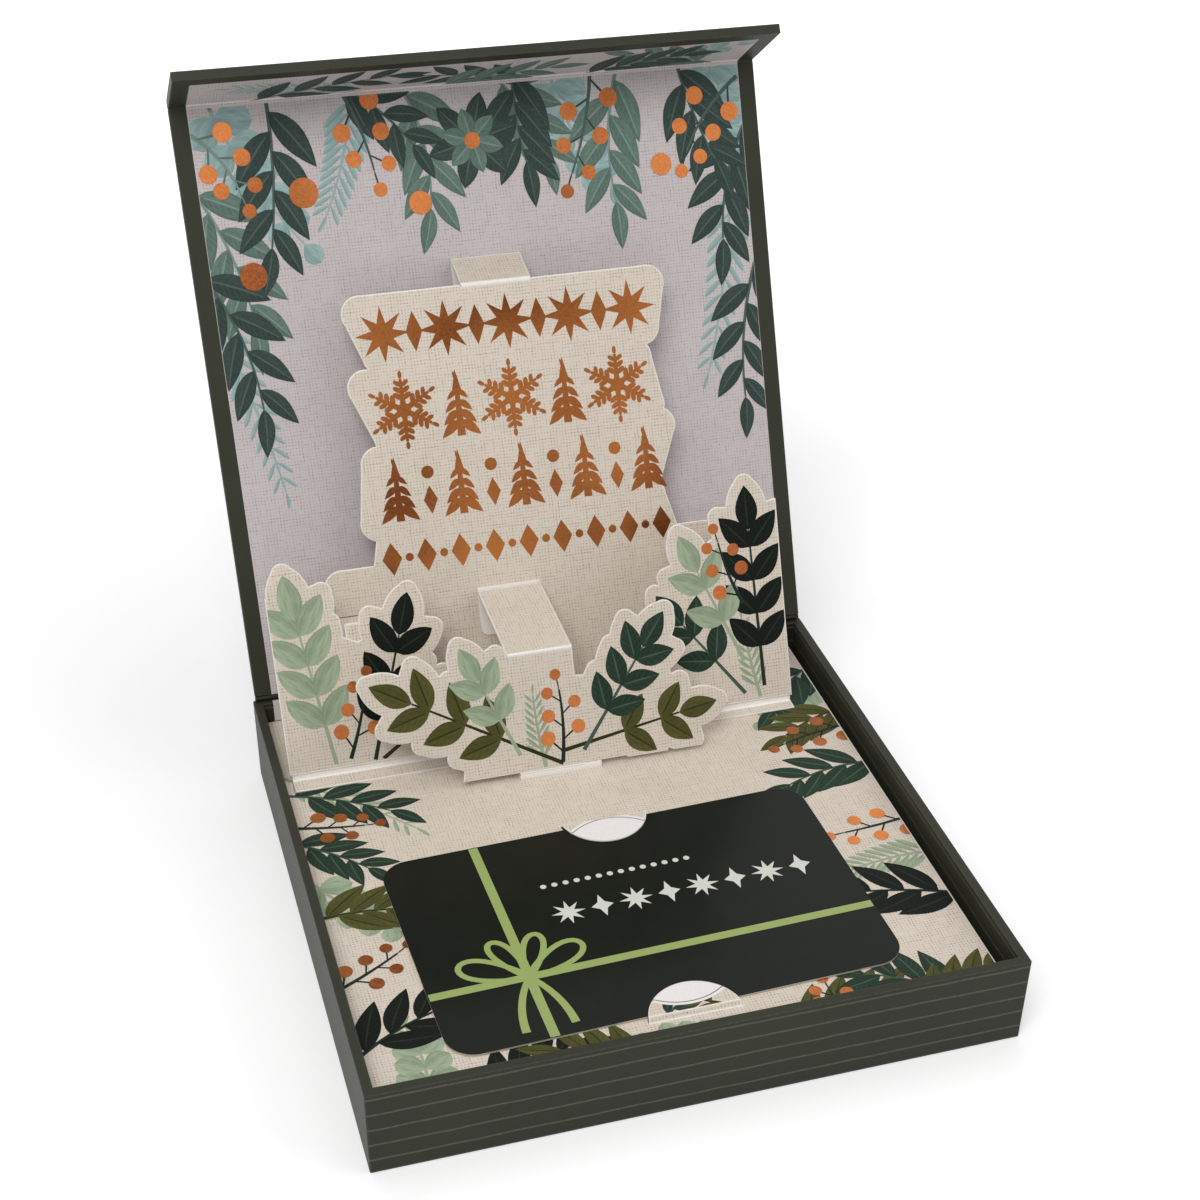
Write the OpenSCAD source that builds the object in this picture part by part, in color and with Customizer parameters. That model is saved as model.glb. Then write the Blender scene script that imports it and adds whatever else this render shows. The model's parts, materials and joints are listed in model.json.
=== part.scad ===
// Gift card holder: a shallow rigid box with a hinged lid, a closing flap, a raised platform that
// holds one card under two half-moon tabs, and pop-up panels that stand up as the lid opens.
// Everything is drawn with the lid open at lid_open, the origin under the middle of the box.

/* [Tray] */
// Outer width of the tray
tray_w = 120.6; // [112:0.1:150]
// Outer depth of the tray, front to back
tray_d = 117; // [112:0.1:150]
// Outer height of the tray
tray_h = 18.2; // [17:0.1:30]
// Thickness of the greyboard in every wall
board_t = 1.5; // [1:0.1:2.5]
// Thickness of the printed paper that wraps the boards
wrap_t = 0.15; // [0.1:0.01:0.25]
// Rounding of the tray's upright corners
corner_r = 0.35; // [0.1:0.05:0.4]
// Width of the paper turned in under the base
base_turn_in = 12; // [5:1:20]

/* [Lid] */
// Angle of the open lid, counted from closed
lid_open = 114; // [95:1:130]
// How much the lid and the flap stay inside the tray's width, on each side
lid_inset = 0.5; // [0.35:0.05:1.5]
// How far the closed lid's hinge edge lies in front of the tray's back
lid_setback = 1; // [0.8:0.1:2]
// Gap between the tray's rim and the closed lid
rim_gap = 0.2; // [0.18:0.01:0.4]
// Height of the hinge line above the face of the closed lid's lining
hinge_rise = 0.6; // [0.5:0.05:0.9]
// Distance from the hinge line to the lid's edge
hinge_reach = 0.55; // [0.5:0.05:0.8]
// Width of the wrapping paper that shows round the linings
border_w = 3.4; // [2:0.1:6]
// Length of the closing flap
flap_l = 17.6; // [12:0.1:18]
// Angle through which the flap is folded forward
flap_fold = 80; // [60:1:90]
// Gap between the closed flap and the tray's front
flap_gap = 0.25; // [0.2:0.05:0.6]
// Distance from the flap's fold line to the board on each side of it
flap_reach = 1; // [0.95:0.05:1.3]

/* [Magnets] */
// Radius of the flap magnets and of the steel discs they catch
magnet_r = 5; // [3:0.5:6]
// Thickness of a flap magnet
magnet_t = 1; // [0.5:0.1:1.2]
// Thickness of a steel disc
disc_t = 0.5; // [0.3:0.1:0.8]
// Distance between the two magnets
magnet_span = 70; // [40:1:90]
// Height of the magnets above the table with the flap closed
magnet_z = 9; // [7:0.5:11]
// Clearance round a magnet or disc in its pocket
pocket_clear = 0.1; // [0.05:0.05:0.2]

/* [Platform] */
// Height of the platform's printed face
platform_z = 13.8; // [10:0.1:14]
// Thickness of the platform's card
platform_t = 0.35; // [0.25:0.05:0.5]
// Gap at the platform's left side
platform_left_gap = 0.3; // [0.2:0.1:2]
// Gap at the platform's right side
platform_right_gap = 1.9; // [0.2:0.1:3]
// Gap at the platform's front and back
platform_end_gap = 0.2; // [0.1:0.05:1]
// Radius of the half-moon tabs
moon_r = 8.7; // [6:0.1:12]
// Distance from a half-moon's centre back to its root
moon_back = 0.9; // [0:0.1:3]
// Length of the ramp that lifts a half-moon over the card
moon_ramp = 0.9; // [0.7:0.1:2]
// Play between the card's edge and the foot of the ramp
moon_play = 0.5; // [0.4:0.1:1]

/* [Card] */
// Width of the gift card
card_w = 85.6; // [80:0.1:90]
// Depth of the gift card
card_d = 54; // [50:0.1:58]
// Thickness of the gift card
card_t = 0.4; // [0.3:0.02:0.5]
// Corner radius of the gift card
card_r = 5.5; // [3:0.1:8]
// Sideways place of the card's middle
card_x = -1.9; // [-8:0.1:8]
// Front-to-back place of the card's middle
card_y = -21.9; // [-24:0.1:-20]
// Angle at which the card lies
card_turn = 1.85; // [0:0.05:2]
// Gap under and over the card
card_clear = 0.05; // [0.02:0.01:0.1]

/* [Pop-up] */
// Thickness of the pop-up's card
sheet_t = 0.3; // [0.2:0.05:0.35]
// Gap between sheets that lie on each other when the lid is closed
layer_gap = 0.05; // [0.04:0.01:0.08]
// Height of the gap that the glued strip leaves under a turning panel
fold_clear = 0.1; // [0.05:0.01:0.15]
// Front-to-back place of the front panel's fold
front_y = 23.5; // [20:0.1:25]
// Front-to-back place of the side panels' fold
side_y = 35; // [33:0.1:38]
// Distance from the tray's back to the greeting plaque's fold
plaque_back = 10.6; // [9:0.1:12]
// Height of the front strap's fold, up the front panel
front_strap_s = 23; // [18:0.1:26]
// Height of the top strap's fold, up the plaque
top_strap_s = 83.5; // [70:0.1:86]
// Height of the side straps' folds, up the side panels
side_strap_s = 21; // [16:0.1:24]
// Left edge and right edge of the front strap
front_strap_x = [-12.4, 1]; // [-20:0.1:20]
// Left edge and right edge of the top strap
top_strap_x = [-8.3, 6.2]; // [-20:0.1:20]
// Width of a side strap
side_strap_w = 9; // [6:0.1:12]
// Distance from the left panel's outer edge to its strap
left_strap_in = 14.8; // [12:0.1:18]
// Distance from the right panel's outer edge to its strap
right_strap_in = 12; // [10:0.1:14]
// Length of the glued end of the front and top straps
strap_tab_l = 10; // [6:0.1:12]
// Length of the glued end of a side strap
side_tab_l = 6; // [4:0.1:8]
// Gap between the tray's wall and the left panel
left_gap = 1.7; // [1:0.1:4]
// Gap between the tray's wall and the right panel
right_gap = 8.5; // [5:0.1:10]
// White margin left round the printed leaves
leaf_margin = 2; // [1.5:0.1:2.5]

/* [Hidden] */
$fn = 64;
slack = 1;

// Wall thickness with its paper on both sides
wall_t = board_t + 2 * wrap_t;
board_w = tray_w - 2 * wrap_t;
board_d = tray_d - 2 * wrap_t;
inner_w = tray_w - 2 * wall_t;
inner_d = tray_d - 2 * wall_t;
lid_w = tray_w - 2 * lid_inset;
board_z = 2 * wrap_t;
wall_z = board_z + board_t;
floor_z = wall_z + wrap_t;
wall_top = tray_h - wrap_t;

// Lean of the open lid behind the upright
lean = lid_open - 90;
stand = 90 - lean;

// Hinge line of the lid, [front to back, height]
lid_hinge = [tray_d / 2 - lid_setback + hinge_reach, tray_h + rim_gap + hinge_rise];
crease_r = hinge_reach - 0.05;

// Fold line of the flap, up the lid, and the far edge of the lid's board
flap_up = lid_hinge[0] + tray_d / 2 + flap_gap + wall_t / 2;
lid_end = flap_up - flap_reach;
flap_z = hinge_rise - wall_t / 2;
flap_crease_r = wall_t / 2;

// Card and half-moon tabs
card_bottom = platform_z + card_clear;
card_top = card_bottom + card_t;
moon_z = card_top + card_clear;
moon_top = moon_z + platform_t;
moon_half = sqrt(moon_r * moon_r - moon_back * moon_back);
card_half = card_d / 2 / cos(card_turn) + moon_half * tan(card_turn);

// Front-to-back place of the greeting plaque's fold
plaque_y = tray_d / 2 - plaque_back;

// Heights of the middle of each panel when the lid is closed, one sheet lying on the next
tab_top = platform_z + sheet_t;
front_layer = moon_top + layer_gap + sheet_t / 2;
side_layer = front_layer + sheet_t + 2 * layer_gap;
plaque_layer = side_layer + 2 * sheet_t + 2 * layer_gap;

// A panel's middle stands this far in front of its hinge line, so that every strap stays parallel
panel_off = hinge_rise + sheet_t / 2;
side_off = panel_off + sheet_t;

// Lowest reach of a panel below its hinge line, as far as the turning edge clears the glued strip
function reach(layer, off) =
    let(r = layer + off - tab_top - fold_clear, edge = off + sheet_t / 2)
    -sqrt(r * r - edge * edge);
front_low = reach(front_layer, panel_off);
side_low = reach(side_layer, side_off);
plaque_low = reach(plaque_layer, panel_off);

// Hinge line of a panel from the place of its fold on the platform, [front to back, height]
function hinge_line(y, layer, off, low) =
    [y + off * cos(lean) - low * sin(lean), layer + off];
front_hinge = hinge_line(front_y, front_layer, panel_off, front_low);
side_hinge = hinge_line(side_y, side_layer, side_off, side_low);
plaque_hinge = hinge_line(plaque_y, plaque_layer, panel_off, plaque_low);

// A point up a panel from its hinge line, at a distance in front of it
function up(hinge, s, off) =
    [hinge[0] + s * sin(lean) - off * cos(lean), hinge[1] + s * cos(lean) + off * sin(lean)];

// A strap starts this far above or below its fold, and its free end stops this far short of the fold
// that it meets, so that it stays clear of the glued end there while the lid leans back further
strap_lift = sheet_t + layer_gap;
side_short = 0.2;
top_short = 0.28;
front_short = 1;

// Width of a die-cut line, and of the room left beside a folded strap
cut_w = 0.1;
strap_room = 0.2;

// Thickness of the paper web between the tray's back and the crease
web_t = 0.4;

// Straight outer edges of the side panels, and the two edges of each side strap
left_edge = left_gap - inner_w / 2;
right_edge = inner_w / 2 - right_gap;
left_strap_x = [left_edge + left_strap_in, left_edge + left_strap_in + side_strap_w];
right_strap_x = [right_edge - right_strap_in - side_strap_w, right_edge - right_strap_in];

// Glued strips on the platform: [left edge, right edge, reach before the fold, reach behind it]
front_strip = [front_strap_x[0], 4.6, 0.2, 6];
left_strip = [left_edge + 0.4, left_edge + 36.8, 4, 0];
right_strip = [right_edge - 23, right_edge - 0.4, 3, 0];
plaque_strip = [-30, 30, 7, 0];

// Corners of the plaque's four rows, and its foot [left edge, right edge, height], from its lower edge
plaque_rows = [
    [[-34.4, 86.2], [-28.6, 70.4], [31.4, 70.4], [34.8, 86.2]],
    [[-35.2, 71.8], [-28.4, 54.6], [32.4, 54.6], [29.2, 71.8]],
    [[-32.4, 56.4], [-35, 37.6], [27.6, 37.6], [35.2, 57.4]],
    [[-30.8, 42], [-34.4, 26], [33.8, 26], [29.2, 43]]];
row_r = 3.6;
plaque_foot = [left_strap_x[0] - 1.4, right_strap_x[1] + 3, 32.8];
foot_r = 3.4;

// The arcs at a row's corners and at a leaf's point are this much fuller than the margin needs
row_fullness = 1.02;
tip_fullness = 1.1;

// Sprigs printed on the die-cut panels, their pairs of leaves up a stem, and the plain core between them:
// [x, height of the root, angle, stem length, pairs, leaf length, leaf width, spread]
// The side panels' x is counted from their outer edge
front_sprigs = [[-12, 6, 150, 23.5, 3, 9.5, 4.6, 46], [-14, 9, 113, 12, 2, 8, 4.2, 44],
    [6, 5, 9, 16, 2, 8.5, 4.4, 48], [5, 8, 53, 17.5, 3, 8.5, 4.4, 46]];
front_core = [[-24, 0.4], [19, 0.4], [16, 12], [6, 18], [-14, 20], [-22, 12]];
left_sprigs = [[8.8, 6, 98, 25, 4, 9.5, 4.8, 42], [18.8, 5, 72, 21, 3, 9, 4.6, 46],
    [25.8, 5, 33, 10, 2, 7, 4.2, 48]];
left_core = [[0, 0], [37.8, 0], [36.8, 10], [26.8, 20], [14.8, 26], [0, 34]];
right_sprigs = [[-6, 8, 91, 28, 4, 9.5, 4.8, 42], [-14, 7, 127, 14, 2, 9, 4.6, 46],
    [-12, 14, 113, 16, 2, 9, 4.6, 44]];
right_core = [[-23, 0], [0, 0], [0, 38], [-10, 32], [-19, 20], [-23, 10]];

// Leaves of one sprig, one at its tip and the others in pairs: [x, y, angle, length, width]
function leaves(s) = concat(
    [[s[0] + s[3] * cos(s[2]), s[1] + s[3] * sin(s[2]), s[2], s[5], s[6]]],
    [for (i = [1:s[4]], side = [-1, 1]) let(run = s[3] * (i - 0.5) / s[4])
        [s[0] + run * cos(s[2]), s[1] + run * sin(s[2]), s[2] + side * s[7], s[5], s[6]]]);

// Rounding of one corner: the two points where its arc begins and ends, and the arc's centre
function soft_corner(before, at, after, r) = let(
    u = (before - at) / norm(before - at), v = (after - at) / norm(after - at),
    half = acos(u * v) / 2)
    [at + u * r / tan(half), at + v * r / tan(half), at + (u + v) / norm(u + v) * r / sin(half)];

// Rectangle about the middle, height from z0 to z1
module slab(w, d, z0, z1) {
    translate([-w / 2, -d / 2, z0]) cube([w, d, z1 - z0]);
}

// Rectangle with rounded corners
module round_rect(w, d, r) {
    square([w - 2 * r, d], center = true);
    square([w, d - 2 * r], center = true);
    for (x = [-1, 1], y = [-1, 1])
        translate([x * (w / 2 - r), y * (d / 2 - r)]) circle(r);
}

// Frame of a standing panel: X across, Y up the panel, Z out of its front, from its hinge line
module standing(hinge) {
    translate([0, hinge[0], hinge[1]]) rotate([stand, 0, 0]) children();
}

// Sheet of card in a standing frame, its middle at the given distance in front
module sheet(off, t = sheet_t) {
    translate([0, 0, off - t / 2]) linear_extrude(t) children();
}

// Frame of the flap, folded forward at the lid's far edge
module flap_frame() {
    standing(lid_hinge) translate([0, flap_up, flap_z]) rotate([flap_fold, 0, 0]) children();
}

// Convex outline with its corners rounded
module soft_outline(points, r) {
    n = len(points);
    corners = [for (i = [0:n - 1]) soft_corner(points[(i + n - 1) % n], points[i], points[(i + 1) % n], r)];
    polygon([for (c = corners, k = [0, 1]) c[k]]);
    for (c = corners)
        translate(c[2]) circle(row_fullness * r);
}

// Leaf of two arcs with a margin all round it, its points ending in slightly fuller arcs
module grown_leaf(leaf, margin) {
    length = leaf[3];
    width = leaf[4];
    r = (length * length + width * width) / (4 * width);
    translate([leaf[0], leaf[1]]) rotate(leaf[2]) translate([length / 2, 0]) {
        intersection() {
            translate([0, r - width / 2]) circle(r + margin);
            translate([0, width / 2 - r]) circle(r + margin);
            square([length * (1 + margin / r), width + 2 * margin], center = true);
        }
        for (side = [-1, 1])
            translate([side * length / 2, 0]) circle(tip_fullness * margin);
    }
}

// Outline of a die-cut panel: its core and the grown leaves of its sprigs
module spray(core, sprigs) {
    polygon(core);
    for (s = sprigs, leaf = leaves(s))
        grown_leaf(leaf, leaf_margin);
}

// Strip between two points of the front-to-back section, from edge x0 to edge x1
module strap(x, from, to, t = sheet_t) {
    run = to - from;
    translate([x[0], from[0], from[1]]) rotate([atan2(run[1], run[0]), 0, 0])
        translate([0, 0, -t / 2]) cube([x[1] - x[0], norm(run), t]);
}

// Greyboard: the base carries four walls, the front and back ones running the full width
module base_board() {
    color("#8a8378") slab(board_w, board_d, board_z, wall_z);
}

module front_wall_board() {
    color("#8a8378") difference() {
        translate([0, -board_d / 2 + board_t / 2, 0]) slab(board_w, board_t, wall_z, wall_top);
        for (x = [-1, 1])
            translate([x * magnet_span / 2, -board_d / 2 - slack, magnet_z])
                rotate([-90, 0, 0]) cylinder(r = magnet_r + pocket_clear, h = disc_t + slack);
    }
}

module back_wall_board() {
    color("#8a8378") translate([0, board_d / 2 - board_t / 2, 0]) slab(board_w, board_t, wall_z, wall_top);
}

module side_wall_board(side) {
    color("#8a8378") translate([side * (board_w - board_t) / 2, 0, 0])
        slab(board_t, board_d - 2 * board_t, wall_z, wall_top);
}

module left_wall_board() {
    side_wall_board(-1);
}

module right_wall_board() {
    side_wall_board(1);
}

// Wrapping paper: up the outside, over the rim, down the inside and turned in under the base
module tray_wrap() {
    color("#2e332b") {
        translate([0, 0, wrap_t]) linear_extrude(tray_h - wrap_t) difference() {
            round_rect(tray_w, tray_d, corner_r);
            square([board_w, board_d], center = true);
        }
        translate([0, 0, wall_top]) linear_extrude(wrap_t) difference() {
            square([board_w, board_d], center = true);
            square([inner_w, inner_d], center = true);
        }
        translate([0, 0, floor_z]) linear_extrude(wall_top - floor_z) difference() {
            square([inner_w + 2 * wrap_t, inner_d + 2 * wrap_t], center = true);
            square([inner_w, inner_d], center = true);
        }
        translate([0, 0, wrap_t]) linear_extrude(wrap_t) difference() {
            square([board_w, board_d], center = true);
            square([board_w - 2 * base_turn_in, board_d - 2 * base_turn_in], center = true);
        }
    }
}

// Cover paper under the base, the face that the box stands on
module base_sheet() {
    color("#2e332b") {
        linear_extrude(wrap_t) round_rect(tray_w, tray_d, corner_r);
        translate([0, 0, wrap_t]) linear_extrude(wrap_t)
            square([board_w - 2 * base_turn_in, board_d - 2 * base_turn_in], center = true);
    }
}

// White paper on the floor of the tray
module floor_lining() {
    color("#e9e6df") slab(inner_w + 2 * wrap_t, inner_d + 2 * wrap_t, wall_z, floor_z);
}

// Two steel discs let into the front wall, which the magnets catch
module strike_discs() {
    color("#9aa0a4") for (x = [-1, 1])
        translate([x * magnet_span / 2, -board_d / 2, magnet_z])
            rotate([-90, 0, 0]) cylinder(r = magnet_r, h = disc_t);
}

// Paper spine glued to the tray's back, ending in the crease that the lid turns on
module hinge_paper() {
    color("#2e332b") translate([-lid_w / 2, 0, 0]) rotate([90, 0, 90]) linear_extrude(lid_w) {
        web_z = lid_hinge[1] - crease_r;
        translate([tray_d / 2, wall_z]) square([wrap_t, web_z + web_t - wall_z]);
        translate(lid_hinge) circle(crease_r);
        translate([lid_hinge[0], web_z]) square([tray_d / 2 + wrap_t - lid_hinge[0], web_t]);
    }
}

// Lining paper that runs from the crease over the rim and down to the platform
module hinge_lining() {
    back = inner_d / 2;
    color("#b8b0b0") translate([-lid_w / 2 + border_w, 0, 0]) rotate([90, 0, 90])
        linear_extrude(lid_w - 2 * border_w) {
            translate([back - wrap_t, platform_z]) square([wrap_t, tray_h + wrap_t - platform_z]);
            translate([back - wrap_t, tray_h]) square([lid_hinge[0] - crease_r - back + wrap_t, wrap_t]);
        }
}

// Plan of one half-moon, its root on the X axis and its arc towards +Y
module half_moon(grow = 0) {
    r = moon_r + grow;
    intersection() {
        translate([0, -moon_back]) circle(r);
        translate([-r, 0]) square([2 * r, r]);
    }
}

// Half-moon tab, rising from the platform by a ramp and lying over the card
module moon_tab() {
    reach_y = 2 * moon_r;
    rise = moon_z + platform_t - platform_z;
    intersection() {
        translate([0, 0, platform_z - platform_t]) linear_extrude(rise + platform_t) half_moon();
        translate([-moon_r, 0, 0]) rotate([90, 0, 90]) linear_extrude(2 * moon_r) polygon([
            [0, platform_z - platform_t], [moon_ramp, moon_z], [reach_y, moon_z],
            [reach_y, moon_top], [moon_ramp, moon_top], [0, platform_z]]);
    }
}

// Places a half-moon at the card's far edge or, turned round, at its near edge
module at_moon(side) {
    translate([0, card_y + side * (card_half + moon_play + moon_ramp), 0])
        rotate(side > 0 ? 180 : 0) children();
}

// Raised platform: one printed card with four sides folded down and two half-moons cut in it
module platform() {
    x0 = -inner_w / 2 + platform_left_gap;
    x1 = inner_w / 2 - platform_right_gap;
    y0 = -inner_d / 2 + platform_end_gap;
    y1 = inner_d / 2 - wrap_t - platform_end_gap;
    size = [x1 - x0, y1 - y0];
    middle = [(x0 + x1) / 2, (y0 + y1) / 2];
    color("#d3c8bc") {
        difference() {
            translate([0, 0, platform_z - platform_t]) linear_extrude(platform_t)
                translate(middle) square(size, center = true);
            for (side = [-1, 1])
                at_moon(side) translate([0, 0, floor_z]) linear_extrude(platform_z) half_moon(cut_w);
        }
        translate([0, 0, floor_z]) linear_extrude(platform_z - platform_t - floor_z) translate(middle)
            difference() {
                square(size, center = true);
                square([size[0] - 2 * platform_t, size[1] - 2 * platform_t], center = true);
            }
        for (side = [-1, 1])
            at_moon(side) moon_tab();
    }
}

// Glued strip of a pop-up panel, on the platform at its fold
module base_strip(strip, y) {
    color("#d8cfc4") translate([strip[0], y - strip[2], platform_z])
        cube([strip[1] - strip[0], strip[2] + strip[3], sheet_t]);
}

module front_panel_tab() {
    base_strip(front_strip, front_y);
}

module left_panel_tab() {
    base_strip(left_strip, side_y);
}

module right_panel_tab() {
    base_strip(right_strip, side_y);
}

module plaque_tab() {
    base_strip(plaque_strip, plaque_y);
}

// Greyboard of the lid, inside its wrap
module lid_board() {
    color("#8a8378") standing(lid_hinge)
        translate([-lid_w / 2 + wrap_t, hinge_reach + wrap_t, hinge_rise - wrap_t - board_t])
            cube([lid_w - 2 * wrap_t, lid_end - hinge_reach - 2 * wrap_t, board_t]);
}

// Wrapping paper of the lid, turned in round the lining
module lid_wrap() {
    long = lid_end - hinge_reach;
    color("#2e332b") standing(lid_hinge) translate([-lid_w / 2, hinge_reach, hinge_rise - wall_t])
        difference() {
            cube([lid_w, long, wall_t]);
            translate([wrap_t, wrap_t, wrap_t]) cube([lid_w - 2 * wrap_t, long - 2 * wrap_t, board_t]);
            translate([border_w, -slack, wall_t - wrap_t])
                cube([lid_w - 2 * border_w, long + 2 * slack, slack]);
        }
}

// Printed lining of the lid
module lid_liner() {
    color("#b8b0b0") standing(lid_hinge) translate([-lid_w / 2 + border_w, hinge_reach, hinge_rise - wrap_t])
        cube([lid_w - 2 * border_w, lid_end - hinge_reach, wrap_t]);
}

// Rounded paper crease between the lid and the flap
module flap_crease() {
    color("#2e332b") standing(lid_hinge) translate([-lid_w / 2, flap_up, flap_z])
        rotate([0, 90, 0]) cylinder(r = flap_crease_r, h = lid_w);
}

// Glued end of the top strap, on the lid's lining
module top_strap_tab() {
    color("#d8cfc4") standing(lid_hinge) sheet(panel_off)
        translate([top_strap_x[0], top_strap_s - strap_tab_l])
            square([top_strap_x[1] - top_strap_x[0], strap_tab_l]);
}

// Greyboard of the flap, pocketed for two magnets
module flap_board() {
    magnet_up = wall_top + rim_gap + hinge_rise - flap_z - magnet_z;
    color("#8a8378") flap_frame() difference() {
        translate([-lid_w / 2 + wrap_t, flap_reach + wrap_t, -board_t / 2])
            cube([lid_w - 2 * wrap_t, flap_l - 2 * wrap_t, board_t]);
        for (x = [-1, 1])
            translate([x * magnet_span / 2, magnet_up, board_t / 2 - magnet_t])
                cylinder(r = magnet_r + pocket_clear, h = magnet_t + slack);
    }
}

// Wrapping paper of the flap, turned in round three sides of its lining
module flap_wrap() {
    color("#2e332b") flap_frame() translate([-lid_w / 2, flap_reach, -wall_t / 2]) difference() {
        cube([lid_w, flap_l, wall_t]);
        translate([wrap_t, wrap_t, wrap_t]) cube([lid_w - 2 * wrap_t, flap_l - 2 * wrap_t, board_t]);
        translate([border_w, -slack, wall_t - wrap_t])
            cube([lid_w - 2 * border_w, flap_l - border_w + slack, slack]);
    }
}

// Printed lining of the flap
module flap_liner() {
    color("#b8b0b0") flap_frame() translate([-lid_w / 2 + border_w, flap_reach, wall_t / 2 - wrap_t])
        cube([lid_w - 2 * border_w, flap_l - border_w, wrap_t]);
}

// Two magnets let into the flap
module flap_magnets() {
    magnet_up = wall_top + rim_gap + hinge_rise - flap_z - magnet_z;
    color("#9aa0a4") flap_frame() for (x = [-1, 1])
        translate([x * magnet_span / 2, magnet_up, board_t / 2 - magnet_t])
            cylinder(r = magnet_r, h = magnet_t);
}

// Gift card, free to slide sideways under the half-moons
module gift_card() {
    color("#262a25") translate([card_x, card_y, card_bottom]) rotate(card_turn)
        linear_extrude(card_t) round_rect(card_w, card_d, card_r);
}

// Window from which a side strap is cut, with room for the fold
module strap_window(x, length) {
    translate([x[0] - strap_room, side_strap_s - length])
        square([x[1] - x[0] + 2 * strap_room, length]);
}

// Greeting plaque: four uneven rows over a broad foot, its top cut back for the strap
module plaque() {
    window_l = norm(side_hinge - plaque_hinge) + side_tab_l;
    foot_w = plaque_foot[1] - plaque_foot[0];
    color("#d8cfc4") standing(plaque_hinge) sheet(panel_off) difference() {
        translate([0, plaque_low]) {
            for (row = plaque_rows)
                soft_outline(row, row_r);
            translate([plaque_foot[0], 0]) square([foot_w, plaque_foot[2] - foot_r]);
            translate([plaque_foot[0] + foot_w / 2, plaque_foot[2] / 2])
                round_rect(foot_w, plaque_foot[2], foot_r);
        }
        translate([top_strap_x[0], top_strap_s])
            square([top_strap_x[1] - top_strap_x[0], 2 * row_r]);
        strap_window(left_strap_x, window_l);
        strap_window(right_strap_x, window_l);
    }
}

// Glued end of the front strap, on the plaque's face
module front_strap_tab() {
    width = front_strap_x[1] - front_strap_x[0];
    round_r = 1.5;
    color("#d8cfc4") standing(plaque_hinge) sheet(panel_off + sheet_t)
        translate([front_strap_x[0], front_strap_s - strap_tab_l]) {
            translate([0, round_r]) square([width, strap_tab_l - round_r]);
            translate([round_r, 0]) square([width - 2 * round_r, 2 * round_r]);
            for (x = [round_r, width - round_r])
                translate([x, round_r]) circle(round_r);
        }
}

// Strap from the plaque's top edge back to the lid
module top_strap() {
    from = up(plaque_hinge, top_strap_s, panel_off);
    to = up(lid_hinge, top_strap_s, panel_off);
    color("#d8cfc4") strap(top_strap_x, from + [-sheet_t / 2, strap_lift],
        to + [-sheet_t / 2 - top_short, -2 * layer_gap]);
}

// Front panel: die-cut sprigs either side of the strap's straight top edge
module front_panel() {
    strap_w = front_strap_x[1] - front_strap_x[0];
    top = front_strap_s - front_low;
    color("#d8cfc4") standing(front_hinge) sheet(panel_off) translate([0, front_low]) difference() {
        union() {
            spray(front_core, front_sprigs);
            translate([front_strap_x[0], 0]) square([strap_w, top]);
        }
        translate([front_strap_x[0], top]) square([strap_w, top]);
        translate([2 * left_edge, -top]) square([2 * (right_edge - left_edge), top]);
    }
}

// Strap from the front panel's top edge back to the plaque
module front_strap() {
    from = up(front_hinge, front_strap_s, panel_off);
    to = up(plaque_hinge, front_strap_s, panel_off);
    color("#d8cfc4") strap(front_strap_x, from + [-sheet_t / 2, strap_lift],
        to + [-front_short, -strap_lift]);
}

// Side panel: die-cut sprigs, cut straight along the fold and the outer edge
module side_panel(edge, inward, core, sprigs) {
    span = right_edge - left_edge;
    color("#d8cfc4") standing(side_hinge) sheet(side_off) translate([edge, side_low]) intersection() {
        spray(core, sprigs);
        translate([(inward - 1) * span / 2, 0]) square([span, span]);
    }
}

module left_panel() {
    side_panel(left_edge, 1, left_core, left_sprigs);
}

module right_panel() {
    side_panel(right_edge, -1, right_core, right_sprigs);
}

// Glued end of a side strap, on the back of its panel and above the fold
module side_strap_tab(x) {
    color("#d8cfc4") standing(side_hinge) sheet(panel_off)
        translate([x[0], side_strap_s]) square([x[1] - x[0], side_tab_l]);
}

module left_strap_tab() {
    side_strap_tab(left_strap_x);
}

module right_strap_tab() {
    side_strap_tab(right_strap_x);
}

// Strap from the plaque's foot forward to the back of a side panel
module side_strap(x) {
    from = up(side_hinge, side_strap_s, panel_off);
    to = up(plaque_hinge, side_strap_s, panel_off);
    color("#d8cfc4") strap(x, from + [sheet_t / 2 + side_short, layer_gap], to + [0, -strap_lift]);
}

module left_strap() {
    side_strap(left_strap_x);
}

module right_strap() {
    side_strap(right_strap_x);
}

base_board();
front_wall_board();
back_wall_board();
left_wall_board();
right_wall_board();
tray_wrap();
base_sheet();
floor_lining();
strike_discs();
hinge_paper();
hinge_lining();
platform();
front_panel_tab();
left_panel_tab();
right_panel_tab();
plaque_tab();
lid_board();
lid_wrap();
lid_liner();
flap_crease();
top_strap_tab();
flap_board();
flap_wrap();
flap_liner();
flap_magnets();
gift_card();
plaque();
front_strap_tab();
top_strap();
front_panel();
front_strap();
left_panel();
left_strap_tab();
left_strap();
right_panel();
right_strap_tab();
right_strap();
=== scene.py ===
"""Gift card holder: the papers, prints and foils that cover the box, and the light it stands in."""
import json
import math
import bmesh
import bpy
from mathutils import Matrix, Vector


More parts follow.
